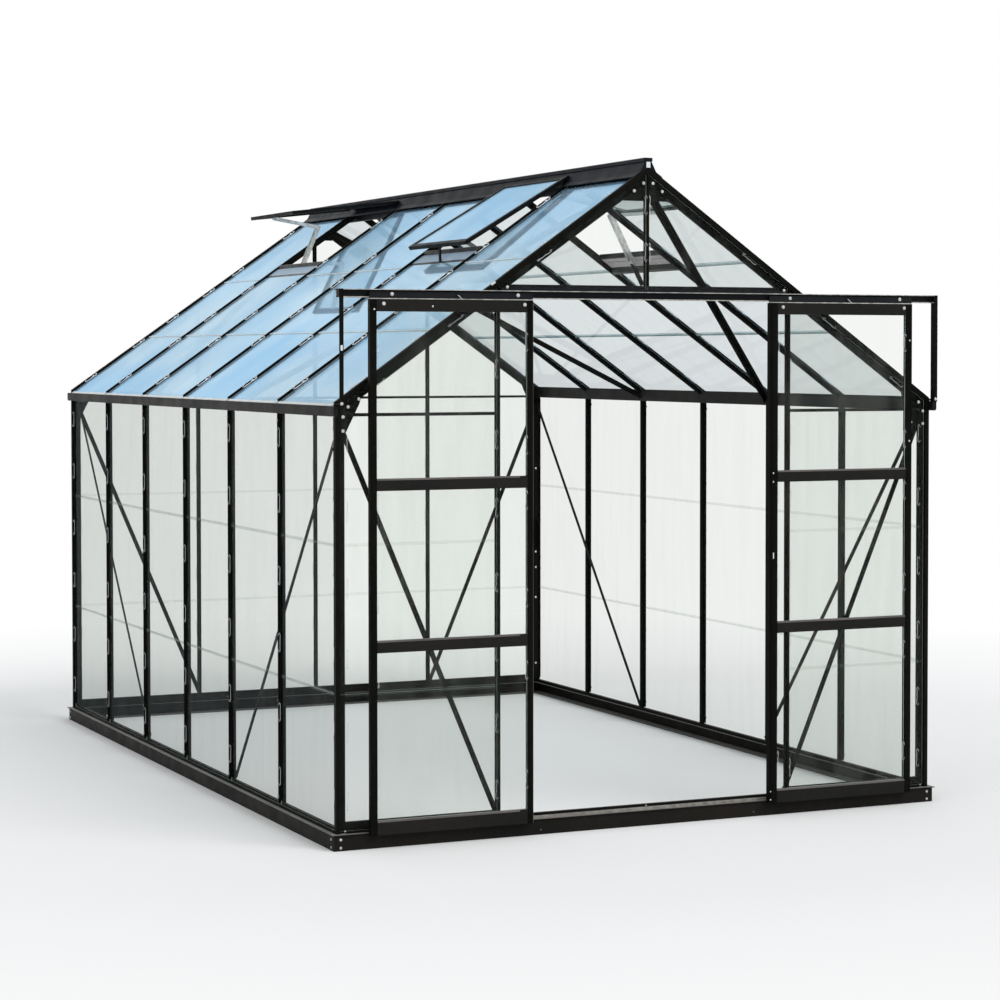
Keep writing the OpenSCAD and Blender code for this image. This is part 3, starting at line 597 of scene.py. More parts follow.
class FrameDresser:
    """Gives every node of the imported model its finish."""

    def __init__(self, palette: Palette) -> None:
        """Sort the nodes by the finish that each takes.

        Args:
            palette: the finished materials.
        """
        groups = {
            palette.base: ("base",),
            palette.bars: ("left_wall_bars", "right_wall_bars", "left_roof_bars", "right_roof_bars"),
            palette.posts: ("gable_sills", "side_sills", "corner_posts", "gable_rafters", "track_struts")
            + ("front_gable_posts", "rear_gable_posts"),
            palette.braces: ("eave_rails", "gable_gussets", "gable_braces", "side_braces", "roof_braces")
            + ("vent_stays",),
            palette.gutter: ("left_eave_gutter", "right_eave_gutter"),
            palette.plastic: ("gutter_outlets", "opener_cylinders"),
            palette.ridge: ("ridge_beam",),
            palette.beam: ("front_cross_beam",),
            palette.track: ("door_track", "door_left_rollers", "door_right_rollers"),
            palette.side_glass: ("left_wall_glass", "right_wall_glass"),
            palette.gable_glass: ("front_gable_glass", "rear_gable_glass")
            + ("door_left_glass", "door_right_glass"),
            palette.roof_glass: ("left_roof_glass", "right_roof_glass", "vent_glass"),
            palette.vents: ("vent_frames",),
            palette.sills: ("vent_sills",),
            palette.zinc: ("vent_openers",),
            palette.stiles: ("door_left_stiles", "door_right_stiles", "door_left_handle"),
            palette.rails: ("door_left_rails", "door_right_rails"),
        }
        self.finishes = {name: finish for finish, names in groups.items() for name in names}

    def dress(self) -> None:
        """Assign each finish to its node's material slots."""
        for name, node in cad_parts.items():
            finish = self.finishes[name]
            for holder in node.material_slots:
                holder.material = finish
            LOG.info("node %s wears %s", name, finish.name)


@dataclass(frozen=True)
class Seat:
    """Place of a copied piece: its point, the way across it and the way out of it."""

    point: Vector
    across: Vector
    outward: Vector

    def matrix(self) -> Matrix:
        """Work out how a piece goes from the bench to this place.

        Returns:
            The matrix that carries it.
        """
        out = self.outward.normalized()
        side = (self.across - out * self.across.dot(out)).normalized()
        turn = Matrix((side, out.cross(side), out)).transposed().to_4x4()
        return Matrix.Translation(self.point) @ turn


class Workshop:
    """Shapes small pieces with edit-mode tools, copies them to their places and hands them over."""

    def open(self, name: str) -> None:
        """Start an empty piece in edit mode.

        Args:
            name: its name.
        """
        bpy.ops.object.select_all(action="DESELECT")
        bpy.ops.object.add(type="MESH", location=(0.0, 0.0, 0.0))
        piece = bpy.context.object
        piece.name = piece.data.name = name
        bpy.ops.object.mode_set(mode="EDIT")
        bpy.ops.mesh.select_mode(type="FACE")

    def pick(self, test: Callable[[bmesh.types.BMFace], bool]) -> None:
        """Keep only some of the selected faces.

        Args:
            test: says whether a face stays selected.
        """
        shape = bmesh.from_edit_mesh(bpy.context.object.data)
        for face in shape.faces:
            face.select_set(face.select and test(face))
        shape.select_flush_mode()
        bmesh.update_edit_mesh(bpy.context.object.data)

    def slab(self, low: Sequence[float], high: Sequence[float], soften: float = 0.0006) -> None:
        """Add a flat bar with softened edges to the open piece.

        Args:
            low: its lowest corner.
            high: its highest corner.
            soften: width of the softened edges.
        """
        bpy.ops.mesh.select_all(action="DESELECT")
        middle = [(a + b) / 2 for a, b in zip(low, high)]
        size = [b - a for a, b in zip(low, high)]
        bpy.ops.mesh.primitive_cube_add(size=1.0, location=middle, scale=size)
        bpy.ops.mesh.bevel(offset=min(soften, min(size) * 0.3), segments=1, affect="EDGES")

    def rod(self, start: Sequence[float], end: Sequence[float], radius: float, sides: int = 12) -> None:
        """Add a round bar with turned-down ends to the open piece.

        Args:
            start: middle of its first end.
            end: middle of its other end.
            radius: its radius.
            sides: how many faces go round it.
        """
        bpy.ops.mesh.select_all(action="DESELECT")
        line = Vector(end) - Vector(start)
        middle = (Vector(end) + Vector(start)) / 2
        lean = line.to_track_quat("Z", "Y").to_euler()
        bpy.ops.mesh.primitive_cylinder_add(
            vertices=sides, radius=radius, depth=line.length, location=middle, rotation=lean
        )
        self.pick(lambda face: len(face.verts) > 4)
        bpy.ops.mesh.inset(thickness=radius * 0.22, depth=radius * 0.12)

    def close(self, crease: float = 32.0) -> bpy.types.Object:
        """Finish the open piece: normals outward, and smooth over all but sharp edges.

        Args:
            crease: degrees past which an edge stays sharp.

        Returns:
            The finished piece.
        """
        bpy.ops.mesh.select_all(action="SELECT")
        bpy.ops.mesh.normals_make_consistent(inside=False)
        bpy.ops.object.mode_set(mode="OBJECT")
        bpy.ops.object.shade_smooth_by_angle(angle=math.radians(crease))
        return bpy.context.object

    def bars(self, name: str, bars: Iterable[Bar], soften: float = 0.0006) -> bpy.types.Object:
        """Make a piece out of flat bars.

        Args:
            name: the piece's name.
            bars: lowest and highest corner of each bar.
            soften: width of their softened edges.

        Returns:
            The finished piece.
        """
        self.open(name)
        for low, high in bars:
            self.slab(low, high, soften)
        return self.close()

    def wire(self, name: str, points: Sequence[Point], radius: float) -> bpy.types.Object:
        """Bend a wire along points and turn it into a mesh.

        Args:
            name: the piece's name.
            points: where the wire runs.
            radius: the wire's radius.

        Returns:
            The wire as a mesh piece.
        """
        path = bpy.data.curves.new(name, "CURVE")
        path.dimensions = "3D"
        path.bevel_depth = radius
        path.bevel_resolution = 0
        path.use_fill_caps = True
        run = path.splines.new("POLY")
        run.points.add(len(points) - 1)
        for knot, point in zip(run.points, points):
            knot.co = (*point, 1.0)
        holder = bpy.data.objects.new(name, path)
        bpy.context.collection.objects.link(holder)
        bpy.ops.object.select_all(action="DESELECT")
        holder.select_set(True)
        bpy.context.view_layer.objects.active = holder
        bpy.ops.object.convert(target="MESH")
        bpy.ops.object.shade_smooth()
        return bpy.context.object

    def bolt(self, name: str, radius: float, height: float = 0.0034) -> bpy.types.Object:
        """Make a hexagon bolt head on its washer, standing on the bench.

        Args:
            name: the piece's name.
            radius: radius over the head's corners.
            height: height of the whole.

        Returns:
            The bolt head.
        """
        self.open(name)
        washer, head = (14, 1.2, 0.3, 0.15), (6, 1.0, 0.7, 0.65)
        for sides, width, thick, middle in (washer, head):
            bpy.ops.mesh.select_all(action="DESELECT")
            bpy.ops.mesh.primitive_cylinder_add(
                vertices=sides, radius=radius * width, depth=height * thick, location=(0, 0, height * middle)
            )
        self.pick(lambda face: face.normal.z > 0.9)
        bpy.ops.mesh.inset(thickness=radius * 0.2, depth=height * 0.12)
        return self.close(25.0)

    def spread(
        self,
        master: bpy.types.Object,
        name: str,
        seats: Iterable[Seat],
        slot: Slot,
        finish: bpy.types.Material,
        body: Body = Body.HOUSE,
        keep: bool = False,
    ) -> None:
        """Copy a piece to many places and hand the copies over as one piece.

        Args:
            master: the piece on the bench.
            name: name of the whole set.
            seats: where the copies go.
            slot: material slot of the record.
            finish: the set's material.
            body: what the set rides on.
            keep: whether the master stays on the bench for another set.
        """
        bpy.ops.object.select_all(action="DESELECT")
        copies = []
        for seat in seats:
            copy = bpy.data.objects.new(name, master.data.copy())
            copy.data.transform(seat.matrix())
            bpy.context.collection.objects.link(copy)
            copy.select_set(True)
            copies.append(copy)
        bpy.context.view_layer.objects.active = copies[0]
        bpy.ops.object.join()
        if not keep:
            bpy.data.objects.remove(master, do_unlink=True)
        self.hand_over(copies[0], slot, finish, body)

    def hand_over(
        self, piece: bpy.types.Object, slot: Slot, finish: bpy.types.Material, body: Body = Body.HOUSE
    ) -> None:
        """Dress a finished piece and let it ride on its body.

        Args:
            piece: the piece.
            slot: material slot of the record; not used.
            finish: its material.
            body: what it rides on.
        """
        piece.data.name = piece.name
        piece.data.materials.clear()
        piece.data.materials.append(finish)
        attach(piece, body.value)
        LOG.info("piece %s rides on %s with %d faces", piece.name, body.value, len(piece.data.polygons))


@dataclass(frozen=True)
class HouseLayout:
    """Main lines of the house in metres, measured from its nodes."""

    front: float
    rear: float
    half: float
    eave: float = 1.640
    pitch: float = math.radians(35.0)
    bays: int = 6
    bay: float = 0.625
    edge: float = 0.025
    pane_in: float = 0.010
    rib: float = 0.0025
    ridge_s: float = 1.48
    vent_s: float = 0.93
    vent_bays: tuple[int, int] = (1, 4)
    lap_heights: Pair = (0.570, 1.117)
    roof_laps: Pair = (0.478, 0.957)

    @classmethod
    def measure(cls) -> "HouseLayout":
        """Measure the house from its corner posts."""
        low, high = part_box("corner_posts")
        return cls(front=low[1], rear=high[1], half=high[0])

    def bar(self, index: int) -> float:
        """Give the centre line of a glazing bar, counted from the front gable."""
        return self.front + self.edge + index * self.bay

    def bay_middles(self) -> list[tuple[int, float]]:
        """List each bay with its middle."""
        return [(index, (self.bar(index) + self.bar(index + 1)) / 2) for index in range(self.bays)]

    def bar_sides(self) -> list[tuple[int, int, int]]:
        """List each side of each bar that holds a pane: the bar, the way it looks and the bay."""
        sides = [(index, way, index - (way < 0)) for index in range(self.bays + 1) for way in SIDES]
        return [(index, way, bay) for index, way, bay in sides if 0 <= bay < self.bays]

    def slope(self, side: int, run: float, y: float, lift: float) -> Vector:
        """Give a point on the left (-1) or right (1) slope: its run from the eave line and its lift."""
        level = self.half - run * math.cos(self.pitch) + lift * math.sin(self.pitch)
        return Vector((side * level, y, self.eave + run * math.sin(self.pitch) + lift * math.cos(self.pitch)))

    def slope_out(self, side: int) -> Vector:
        """Give the way that a roof slope faces."""
        return Vector((side * math.sin(self.pitch), 0.0, math.cos(self.pitch)))

    def slope_up(self, side: int) -> Vector:
        """Give the way up a roof slope."""
        return Vector((-side * math.cos(self.pitch), 0.0, math.sin(self.pitch)))

    def on_roof(self, side: int, run: float, y: float, across: Vector) -> Seat:
        """Give a seat on the roof's panes."""
        return Seat(self.slope(side, run, y, -self.pane_in), across, self.slope_out(side))

    def on_wall(self, side: int, y: float, z: float, across: Vector) -> Seat:
        """Give a seat on a side wall's panes."""
        return Seat(Vector((side * (self.half - self.pane_in), y, z)), across, ACROSS * side)


@dataclass
class Fittings:
    """What every group of fittings works with: the tools, the house's lines and the finishes."""

    shop: Workshop
    house: HouseLayout
    palette: Palette

    def on_gable(self, places: Iterable[Pair], y: float, outward: int, across: Vector = ACROSS) -> list[Seat]:
        """Give seats at x and z on the plane at y, which faces the front (-1) or the rear (1)."""
        return [Seat(Vector((x, y, z)), across, ALONG * outward) for x, z in places]


@dataclass
class BaseFittings(Fittings):
    """Pale strip on the steel base's lip that paints its edge highlight, the base's corner bolts and studs,
    and the door's threshold strip.
    """

    lip: float = 0.004
    proud: float = 0.0006
    corner_in: float = 0.008
    out: float = 0.014
    doorway: float = 0.612
    ledge: float = 0.008
    ledge_depth: float = 0.0128
    skin: float = 0.001
    bolt_x: float = 1.263
    bolt_y: float = 0.0135
    bolt_z: Pair = (0.012, 0.042)
    bolt_size: Pair = (0.0044, 0.0028)
    stud_size: Pair = (0.0026, 0.0016)
    tread: float = 0.003
    ledge_screw: Pair = (0.013, 0.0045)
    studs: tuple[Pair, ...] = ((-0.4595, 0.018), (0.4595, 0.018))
    post_screws: tuple[Pair, ...] = ((-1.2405, 0.0695), (1.2405, 0.0695))

    def make(self) -> None:
        """Build the base's fittings."""
        house, palette = self.house, self.palette
        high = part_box("base")[1]
        x, top = high[0] - self.corner_in, high[2]
        front, rear = house.front - self.out, house.rear + self.out
        low, peak = top - self.lip, top + self.proud
        bars = [((-x, y - self.proud, low), (x, y + self.proud, peak)) for y in (front, rear)]
        bars += [((s - self.proud, front, low), (s + self.proud, rear, peak)) for s in (-x, x)]
        # The pale lip strip is a painted highlight along the base's top edge.
        self.shop.hand_over(self.shop.bars("base_lip", bars), Slot.BASE, palette.lip)
        ledge = top + self.ledge
        floor = (-self.doorway, front + self.tread, top), (self.doorway, house.front, top + self.skin)
        step = (
            (-self.doorway, house.front - self.skin, top),
            (self.doorway, house.front + self.ledge_depth, ledge + self.skin),
        )
        self.shop.hand_over(self.shop.bars("threshold", (floor, step)), Slot.BRIGHT, palette.threshold)
        bolt = self.shop.bolt("base_bolt_master", *self.bolt_size)
        places = [(side * self.bolt_x, z) for side in SIDES for z in self.bolt_z]
        seats = self.on_gable(places, front, -1) + self.on_gable(places, rear, 1)
        for side in SIDES:
            for y in (house.front + self.bolt_y, house.rear - self.bolt_y):
                seats += [Seat(Vector((side * x, y, z)), ALONG, ACROSS * side) for z in self.bolt_z]
        self.shop.spread(bolt, "base_bolts", seats, Slot.BRIGHT, palette.zinc)
        stud = self.shop.bolt("base_stud_master", *self.stud_size)
        seats = self.on_gable(self.studs, front, -1)
        self.shop.spread(stud, "base_studs", seats, Slot.BASE, palette.lip, keep=True)
        behind, above = self.ledge_screw
        seats = self.on_gable([(0.0, ledge + above)], house.front + behind, -1)
        seats += self.on_gable(self.post_screws, house.front, -1)
        self.shop.spread(stud, "sill_screws", seats, Slot.BRIGHT, palette.zinc)


@dataclass
class FrameBolts(Fittings):
    """Bolt heads of the gussets, the cross beam, the bars and the track struts."""

    corner: tuple[Pair, ...] = ((1.183, 1.651), (1.225, 1.6225), (1.245, 1.586), (1.245, 1.535))
    apex: tuple[Pair, ...] = ((0.020, 2.469), (0.060, 2.439))
    beam: tuple[Pair, ...] = ((-0.5906, 2.0652), (0.5988, 2.0648))
    strut: tuple[Pair, ...] = ((-1.270, 1.635), (1.270, 1.635))
    bar_z: Pair = (0.100, 1.560)
    radius: float = 0.0051

    def make(self) -> None:
        """Build the frame's bolts."""
        house = self.house
        places = [(side * x, z) for side in SIDES for x, z in self.corner + self.apex]
        seats = self.on_gable(places, house.front, -1) + self.on_gable(places, house.rear, 1)
        seats += self.on_gable(self.beam, house.front, -1)
        seats += self.on_gable(self.strut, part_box("track_struts")[0][1], -1)
        for side in SIDES:
            for index in range(1, house.bays):
                for z in self.bar_z:
                    seats.append(Seat(Vector((side * house.half, house.bar(index), z)), ALONG, ACROSS * side))
        bolt = self.shop.bolt("frame_bolt_master", self.radius)
        self.shop.spread(bolt, "frame_bolts", seats, Slot.BRIGHT, self.palette.zinc)


@dataclass
class LapStrips(Fittings):
    """Overlaps of the lapped panes: a second sheet's edge over the joint in each bay."""

    overlap: float = 0.012
    thick: float = 0.0028
    clear: float = 0.006
    soften: float = 0.0007
    vent_gap: float = 0.1
    rim: Point = (0.0008, 0.0026, 0.0004)
    gable_length: float = 0.594
    gable_middles: Pair = (0.3125, 0.9355)
    gable_top: float = 1.5935

    def master(self, name: str, half: float) -> bpy.types.Object:
        """Make one overlap that lies on the bench, its length along Y."""
        reach = self.overlap / 2
        return self.shop.bars(name, [((-reach, -half, 0), (reach, half, self.thick))], self.soften)

    def make(self) -> None:
        """Build the overlaps of the roof, the walls and the gables."""
        house, palette = self.house, self.palette
        roof, walls, ends = [], [], []
        for side in SIDES:
            for index, y in house.bay_middles():
                for run in house.roof_laps:
                    if index not in house.vent_bays or run <= house.vent_s - self.vent_gap:
                        roof.append(house.on_roof(side, run, y, house.slope_up(side)))
                walls += [house.on_wall(side, y, z, UPRIGHT) for z in house.lap_heights]
        half = house.bay / 2 - self.clear
        lap = self.master("lap_master", half)
        self.shop.spread(lap, "roof_laps", roof, Slot.GLASS, palette.roof_glass, keep=True)
        start, (below, above, proud) = -self.overlap / 2, self.rim
        rim = (start - below, -half, 0), (start + above, half, self.thick + proud)
        edge = self.shop.bars("lap_edge_master", [rim])
        self.shop.spread(edge, "roof_lap_edges", roof, Slot.GLASS, palette.white)
        self.shop.spread(lap, "wall_laps", walls, Slot.GLASS, palette.side_glass)
        inner, outer = self.gable_middles
        for z in (*house.lap_heights, self.gable_top):
            for y, outward, middles in (
                (house.front + house.pane_in, -1, (-outer, outer)),
                (house.rear - house.pane_in, 1, (-outer, -inner, inner, outer)),
            ):
                ends += self.on_gable([(x, z) for x in middles], y, outward, UPRIGHT)
        short = self.master("gable_lap_master", self.gable_length / 2)
        self.shop.spread(short, "gable_laps", ends, Slot.GLASS, palette.gable_glass)


@dataclass
class BarSeals(Fittings):
    """Black glazing strips where the panes meet the bars, with a pale bead beside them on the roof that
    paints the highlight line along each roof bar.
    """

    width: float = 0.0075
    wall_width: float = 0.0125
    height: float = 0.0036
    bead: float = 0.0012
    wall_z: float = 0.835
    wall_length: float = 1.500
    ridge_gap: float = 0.02
    vent_gap: float = 0.03
    soften: float = 0.0004

    def make(self) -> None:
        """Build the strips beside every bar."""
        house = self.house
        full, cut, upright = [], [], []
        for side in SIDES:
            for index, way, bay in house.bar_sides():
                y = house.bar(index) + way * house.rib
                vented = bay in house.vent_bays
                middle = (house.vent_s if vented else house.ridge_s) / 2
                (cut if vented else full).append(house.on_roof(side, middle, y, ALONG * way))
                upright.append(house.on_wall(side, y, self.wall_z, ALONG * way))
        rubber, bead = self.palette.rubber, self.palette.seal
        long, short = house.ridge_s - self.ridge_gap, house.vent_s - self.vent_gap
        for name, length, start, width, seats, finish in (
            ("roof_seals", long, 0.0, self.width, full, rubber),
            ("roof_seals_under_vents", short, 0.0, self.width, cut, rubber),
            ("wall_seals", self.wall_length, 0.0, self.wall_width, upright, rubber),
            # Pale beads: painted highlight line along the roof bars.
            ("roof_beads", long, self.width, self.bead, full, bead),
            ("roof_beads_under_vents", short, self.width, self.bead, cut, bead),
        ):
            strip = (start, -length / 2, 0), (start + width, length / 2, min(self.height, width))
            master = self.shop.bars(name + "_master", [strip], self.soften)
            self.shop.spread(master, name, seats, Slot.PLASTIC, finish)


@dataclass
class WireClips(Fittings):
    """Bent stainless wires that hook over the bars and press on the panes."""

    gauge: float = 0.0008
    roof_gauge: float = 0.0014
    slim: float = 0.85
    stand_off: float = 0.0005
    roof_stagger: float = 0.012
    wall_stagger: float = 0.015
    vent_gap: float = 0.05
    on_rafter: float = 0.0098
    loop_soften: float = 0.0018
    runs: tuple[float, ...] = (0.112, 0.410, 0.625, 0.855, 1.045, 1.375)
    heights: tuple[float, ...] = (0.180, 0.430, 0.700, 0.960, 1.240, 1.495)
    above_eaves: float = 1.760
    beside_ridge: Pair = (2.205, 2.385)
    under_slope: tuple[Pair, ...] = ((0.443, 2.190), (0.805, 1.943), (1.118, 1.708))
    corner_in: float = 0.0405
    trail_in: float = 0.026
    shape: tuple[Point, ...] = (
        (0.0016, -0.026, 0.0108),
        (0.0050, -0.037, 0.0070),
        (0.0105, -0.031, 0.0046),
        (0.0070, -0.016, 0.0046),
        (0.0095, -0.006, 0.0046),
        (0.0070, 0.004, 0.0046),
        (0.0095, 0.014, 0.0046),
        (0.0105, 0.030, 0.0046),
        (0.0050, 0.037, 0.0070),
        (0.0016, 0.027, 0.0108),
    )
    loop: Bar = ((0.0026, 0.0070, 0.0040), (0.0100, 0.0185, 0.0094))

    def make(self) -> None:
        """Build the clips of the roof, the walls, the gables and the door leaves."""
        house, bright, finish = self.house, Slot.BRIGHT, self.palette.wire
        roof, walls = [], []
        for side in SIDES:
            for index, way, bay in house.bar_sides():
                y = house.bar(index) + way * (house.rib + self.stand_off)
                for run in self.runs:
                    if bay not in house.vent_bays or run < house.vent_s - self.vent_gap:
                        up = self.roof_stagger * (way > 0)
                        roof.append(house.on_roof(side, run + up, y, ALONG * way))
                up = self.wall_stagger * (way > 0)
                walls += [house.on_wall(side, y, z + up, ALONG * way) for z in self.heights]
        stout = self.shop.wire("roof_clip_master", self.shape, self.roof_gauge)
        self.shop.spread(stout, "roof_clips", roof, bright, finish)
        loop = self.shop.bars("loop_master", [self.loop], self.loop_soften)
        self.shop.spread(loop, "roof_clip_loops", roof, bright, self.palette.white)
        slim = tuple((x * self.slim, y, z) for x, y, z in self.shape)
        clip = self.shop.wire("clip_master", slim, self.gauge)
        self.shop.spread(clip, "wall_clips", walls, bright, finish, keep=True)
        self.shop.spread(clip, "gable_clips", self.gable_places(), bright, finish, keep=True)
        for leaf in (DoorLeaf.left(), DoorLeaf.right()):
            seats = []
            for x, way in (
                (leaf.lead - leaf.inward * leaf.lead_w, -leaf.inward),
                (leaf.trail + leaf.inward * self.trail_in, leaf.inward),
            ):
                seats += self.on_gable([(x, z) for z in leaf.clip_z], leaf.face("_glass"), -1, ACROSS * way)
            keep = leaf.body is Body.DOOR_LEFT
            self.shop.spread(clip, leaf.name + "_clips", seats, bright, finish, leaf.body, keep)

    def gable_places(self) -> list[Seat]:
        """Find the clips' seats on both gables.

        Returns:
            The seats.
        """
        house = self.house
        stand_off = house.rib + self.stand_off
        seats = []
        for y, outward, posts in (
            (house.front + house.pane_in, -1, (-house.bay, house.bay)),
            (house.rear - house.pane_in, 1, (-house.bay, 0.0, house.bay)),
        ):
            for x, way in ((x, way) for x in posts for way in SIDES):
                if outward > 0 or x * way > 0:
                    places = [(x + way * stand_off, z) for z in (*self.heights, self.above_eaves)]
                    seats += self.on_gable(places, y, outward, ACROSS * way)
            for side in SIDES:
                places = [(side * (house.half - self.corner_in), z) for z in self.heights]
                seats += self.on_gable(places, y, outward, ACROSS * -side)
                places = [(side * x, z) for x, z in self.under_slope]
                seats += self.on_gable(places, y + outward * self.on_rafter, outward, -house.slope_out(side))
            for way in SIDES:
                places = [(way * stand_off, z) for z in self.beside_ridge]
                seats += self.on_gable(places, y, outward, ACROSS * way)
        return seats


@dataclass
class EaveFittings(Fittings):
    """White strips that paint the highlight on the lower edge of the roof panes, and the gutters' rolled
    lips.
    """

    reach: float = 0.012
    depth: float = 0.014
    length: float = 0.305
    thick: float = 0.0012
    soften: float = 0.0004
    lip_radius: float = 0.0019
    lip_z: float = 1.6245
    inset: float = 0.001

    def make(self) -> None:
        """Build the eaves' fittings."""
        house, shop = self.house, self.shop
        strip = (-self.reach, -self.length, 0), (self.depth - self.reach, self.length, self.thick)
        edge = shop.bars("eave_edge_master", [strip], self.soften)
        seats = []
        for side in SIDES:
            seats += [house.on_roof(side, 0.0, y, house.slope_up(side)) for _, y in house.bay_middles()]
        # White strips: painted highlight where the roof panes rest on the gutters.
        self.shop.spread(edge, "eave_pane_edges", seats, Slot.GLASS, self.palette.white)
        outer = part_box("right_eave_gutter")[1][0]
        shop.open("gutter_lips")
        for x in (self.inset - outer, outer - self.inset):
            ends = (x, house.front + self.inset, self.lip_z), (x, house.rear - self.inset, self.lip_z)
            shop.rod(*ends, self.lip_radius, 8)
        shop.hand_over(shop.close(60.0), Slot.FRAME, self.palette.gutter)


@dataclass
class RidgeFittings(Fittings):
    """End plugs of the ridge, pale strips that paint the highlight on its top edges, and two small tabs on
    the front gable.
    """

    plug: Point = (0.0085, 0.0016, 0.022)
    plug_drop: float = 0.016
    trim_x: float = 0.018
    trim: float = 0.0008
    trim_fall: Pair = (0.003, 0.0004)
    inset: float = 0.001
    tab: Bar = ((-0.010, -0.004, 0), (0.010, 0.004, 0.0022))
    slope_tab: Pair = (-0.648, 2.079)
    strut_tab: Pair = (0.008, 1.837)

    def make(self) -> None:
        """Build the ridge's fittings."""
        house, palette = self.house, self.palette
        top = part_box("ridge_beam")[1][2]
        head = top - self.plug_drop
        bars = []
        for y, way in ((house.front, -1), (house.rear, 1)):
            low, high = sorted((y, y + way * self.plug[1]))
            bars.append(((-self.plug[0], low, head - self.plug[2]), (self.plug[0], high, head)))
        self.shop.hand_over(self.shop.bars("ridge_plugs", bars), Slot.PLASTIC, palette.white)
        front, rear = house.front + self.inset, house.rear - self.inset
        low, high = (top - fall for fall in self.trim_fall)
        lines = (-self.trim_x, self.trim_x)
        bars = [((x - self.trim, front, low), (x + self.trim, rear, high)) for x in lines]
        # Pale trim strips: painted highlight along the ridge's top edges.
        self.shop.hand_over(self.shop.bars("ridge_trim", bars, self.trim / 2), Slot.FRAME, palette.lip)
        tab = self.shop.bars("tab_master", [self.tab], self.trim)
        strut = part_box("track_struts")[0]
        seats = self.on_gable([self.slope_tab], house.front, -1, house.slope_up(-1))
        inward, z = self.strut_tab
        seats += self.on_gable([(strut[0] + inward, z)], strut[1], -1, UPRIGHT)
        self.shop.spread(tab, "gable_tabs", seats, Slot.PLASTIC, palette.white)


@dataclass
class VentFittings(Fittings):
    """Row of slots along the underside of each vent's sill plate."""

    run: float = 1.019
    under: float = 0.0130
    spacing: float = 0.020
    count: int = 27
    slot: Point = (0.0032, 0.012, 0.0005)

    def make(self) -> None:
        """Build the slots of the four sill plates."""
        house = self.house
        wide, long, thick = self.slot
        slot = self.shop.bars("slot_master", [((-wide / 2, -long / 2, 0), (wide / 2, long / 2, thick))])
        seats = []
        for side in SIDES:
            for index in house.vent_bays:
                start = house.bar(index) + (house.bay - (self.count - 1) * self.spacing) / 2
                for step in range(self.count):
                    point = house.slope(side, self.run, start + step * self.spacing, -self.under)
                    seats.append(Seat(point, house.slope_up(side), -house.slope_out(side)))
        self.shop.spread(slot, "vent_sill_slots", seats, Slot.FRAME, self.palette.rubber)


@dataclass
class TrackFittings(Fittings):
    """Pale strips that paint the highlights on the door track's edges, and the track's end stops.

    An edge is given from the track's front face and from its top or its foot.
    """

    top_edge: tuple[Pair, Pair] = ((-0.0008, -0.0030), (0.0004, -0.0002))
    foot_edge: tuple[Pair, Pair] = ((0.0142, 0.0002), (0.0152, 0.0040))
    end_gap: float = 0.002
    soften: float = 0.0004
    cap: Point = (0.010, 0.0025, 0.0262)
    cap_foot: float = 0.0045
    cap_top: float = 0.0032

    def make(self) -> None:
        """Build the track's fittings."""
        low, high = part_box("door_track")
        x = high[0] - self.end_gap
        edges = []
        for (near, deep), level in ((self.top_edge, high[2]), (self.foot_edge, low[2])):
            edges.append(((-x, low[1] + near[0], level + near[1]), (x, low[1] + deep[0], level + deep[1])))
        # Pale strips: painted highlights along the track's top and foot edges.
        piece = self.shop.bars("track_edges", edges, self.soften)
        self.shop.hand_over(piece, Slot.FRAME, self.palette.edge_highlight)
        thick, near, deep = self.cap
        foot, top = low[2] + self.cap_foot, high[2] - self.cap_top
        caps = []
        for side in SIDES:
            inner, outer = sorted((side * high[0], side * (high[0] - thick)))
            caps.append(((inner, low[1] + near, foot), (outer, low[1] + deep, top)))
        self.shop.hand_over(self.shop.bars("track_end_caps", caps), Slot.PLASTIC, self.palette.plastic)


@dataclass(frozen=True)
class DoorLeaf:
    """Lines of one sliding leaf in metres, measured from its nodes."""

    name: str
    body: Body
    inward: int
    lead_w: float
    cover_gap: float
    wheel_in: float
    top_bolts: Pair
    lever_x: float
    screws: tuple[Pair, ...]
    wheel_span: float = 0.504
    rails: tuple[Pair, ...] = ((0.052, 0.106), (0.722, 0.767), (1.315, 1.360), (1.9705, 2.0155))
    clip_z: tuple[float, ...] = (0.220, 0.631, 0.902, 1.269, 1.475, 1.860)

    @property
    def trail(self) -> float:
        """Place of the trailing edge."""
        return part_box(self.name + "_stiles")[self.inward < 0][0]

    @property
    def lead(self) -> float:
        """Place of the leading edge."""
        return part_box(self.name + "_stiles")[self.inward > 0][0]

    def face(self, part: str) -> float:
        """Give the front plane of one of the leaf's nodes."""
        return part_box(self.name + part)[0][1]

    def across(self, start: float, end: float) -> Pair:
        """Give two distances from the trailing edge as x, lowest first."""
        ends = sorted((self.trail + self.inward * start, self.trail + self.inward * end))
        return ends[0], ends[1]

    @classmethod
    def left(cls) -> "DoorLeaf":
        """Describe the left leaf, which carries the handle.

        Returns:
            The leaf.
        """
        return cls(
            name="door_left",
            body=Body.DOOR_LEFT,
            inward=1,
            lead_w=0.022,
            cover_gap=0.033,
            wheel_in=0.088,
            top_bolts=(-1.103, -0.540),
            lever_x=-0.813,
            screws=((-1.141, 1.978), (-0.9114, 1.990))
            + tuple((-0.4965, z) for z in (1.388, 1.075, 1.017, 0.904, 0.657)),
        )

    @classmethod
    def right(cls) -> "DoorLeaf":
        """Describe the right leaf, which carries the latch slot.

        Returns:
            The leaf.
        """
        return cls(
            name="door_right",
            body=Body.DOOR_RIGHT,
            inward=-1,
            lead_w=0.036,
            cover_gap=0.001,
            wheel_in=0.056,
            top_bolts=(1.125, 0.568),
            lever_x=0.859,
            screws=((0.525, 1.350), (0.525, 1.316), (0.5155, 0.0995), (0.5155, 0.067))
            + ((1.150, 1.870), (1.150, 1.468)),
        )


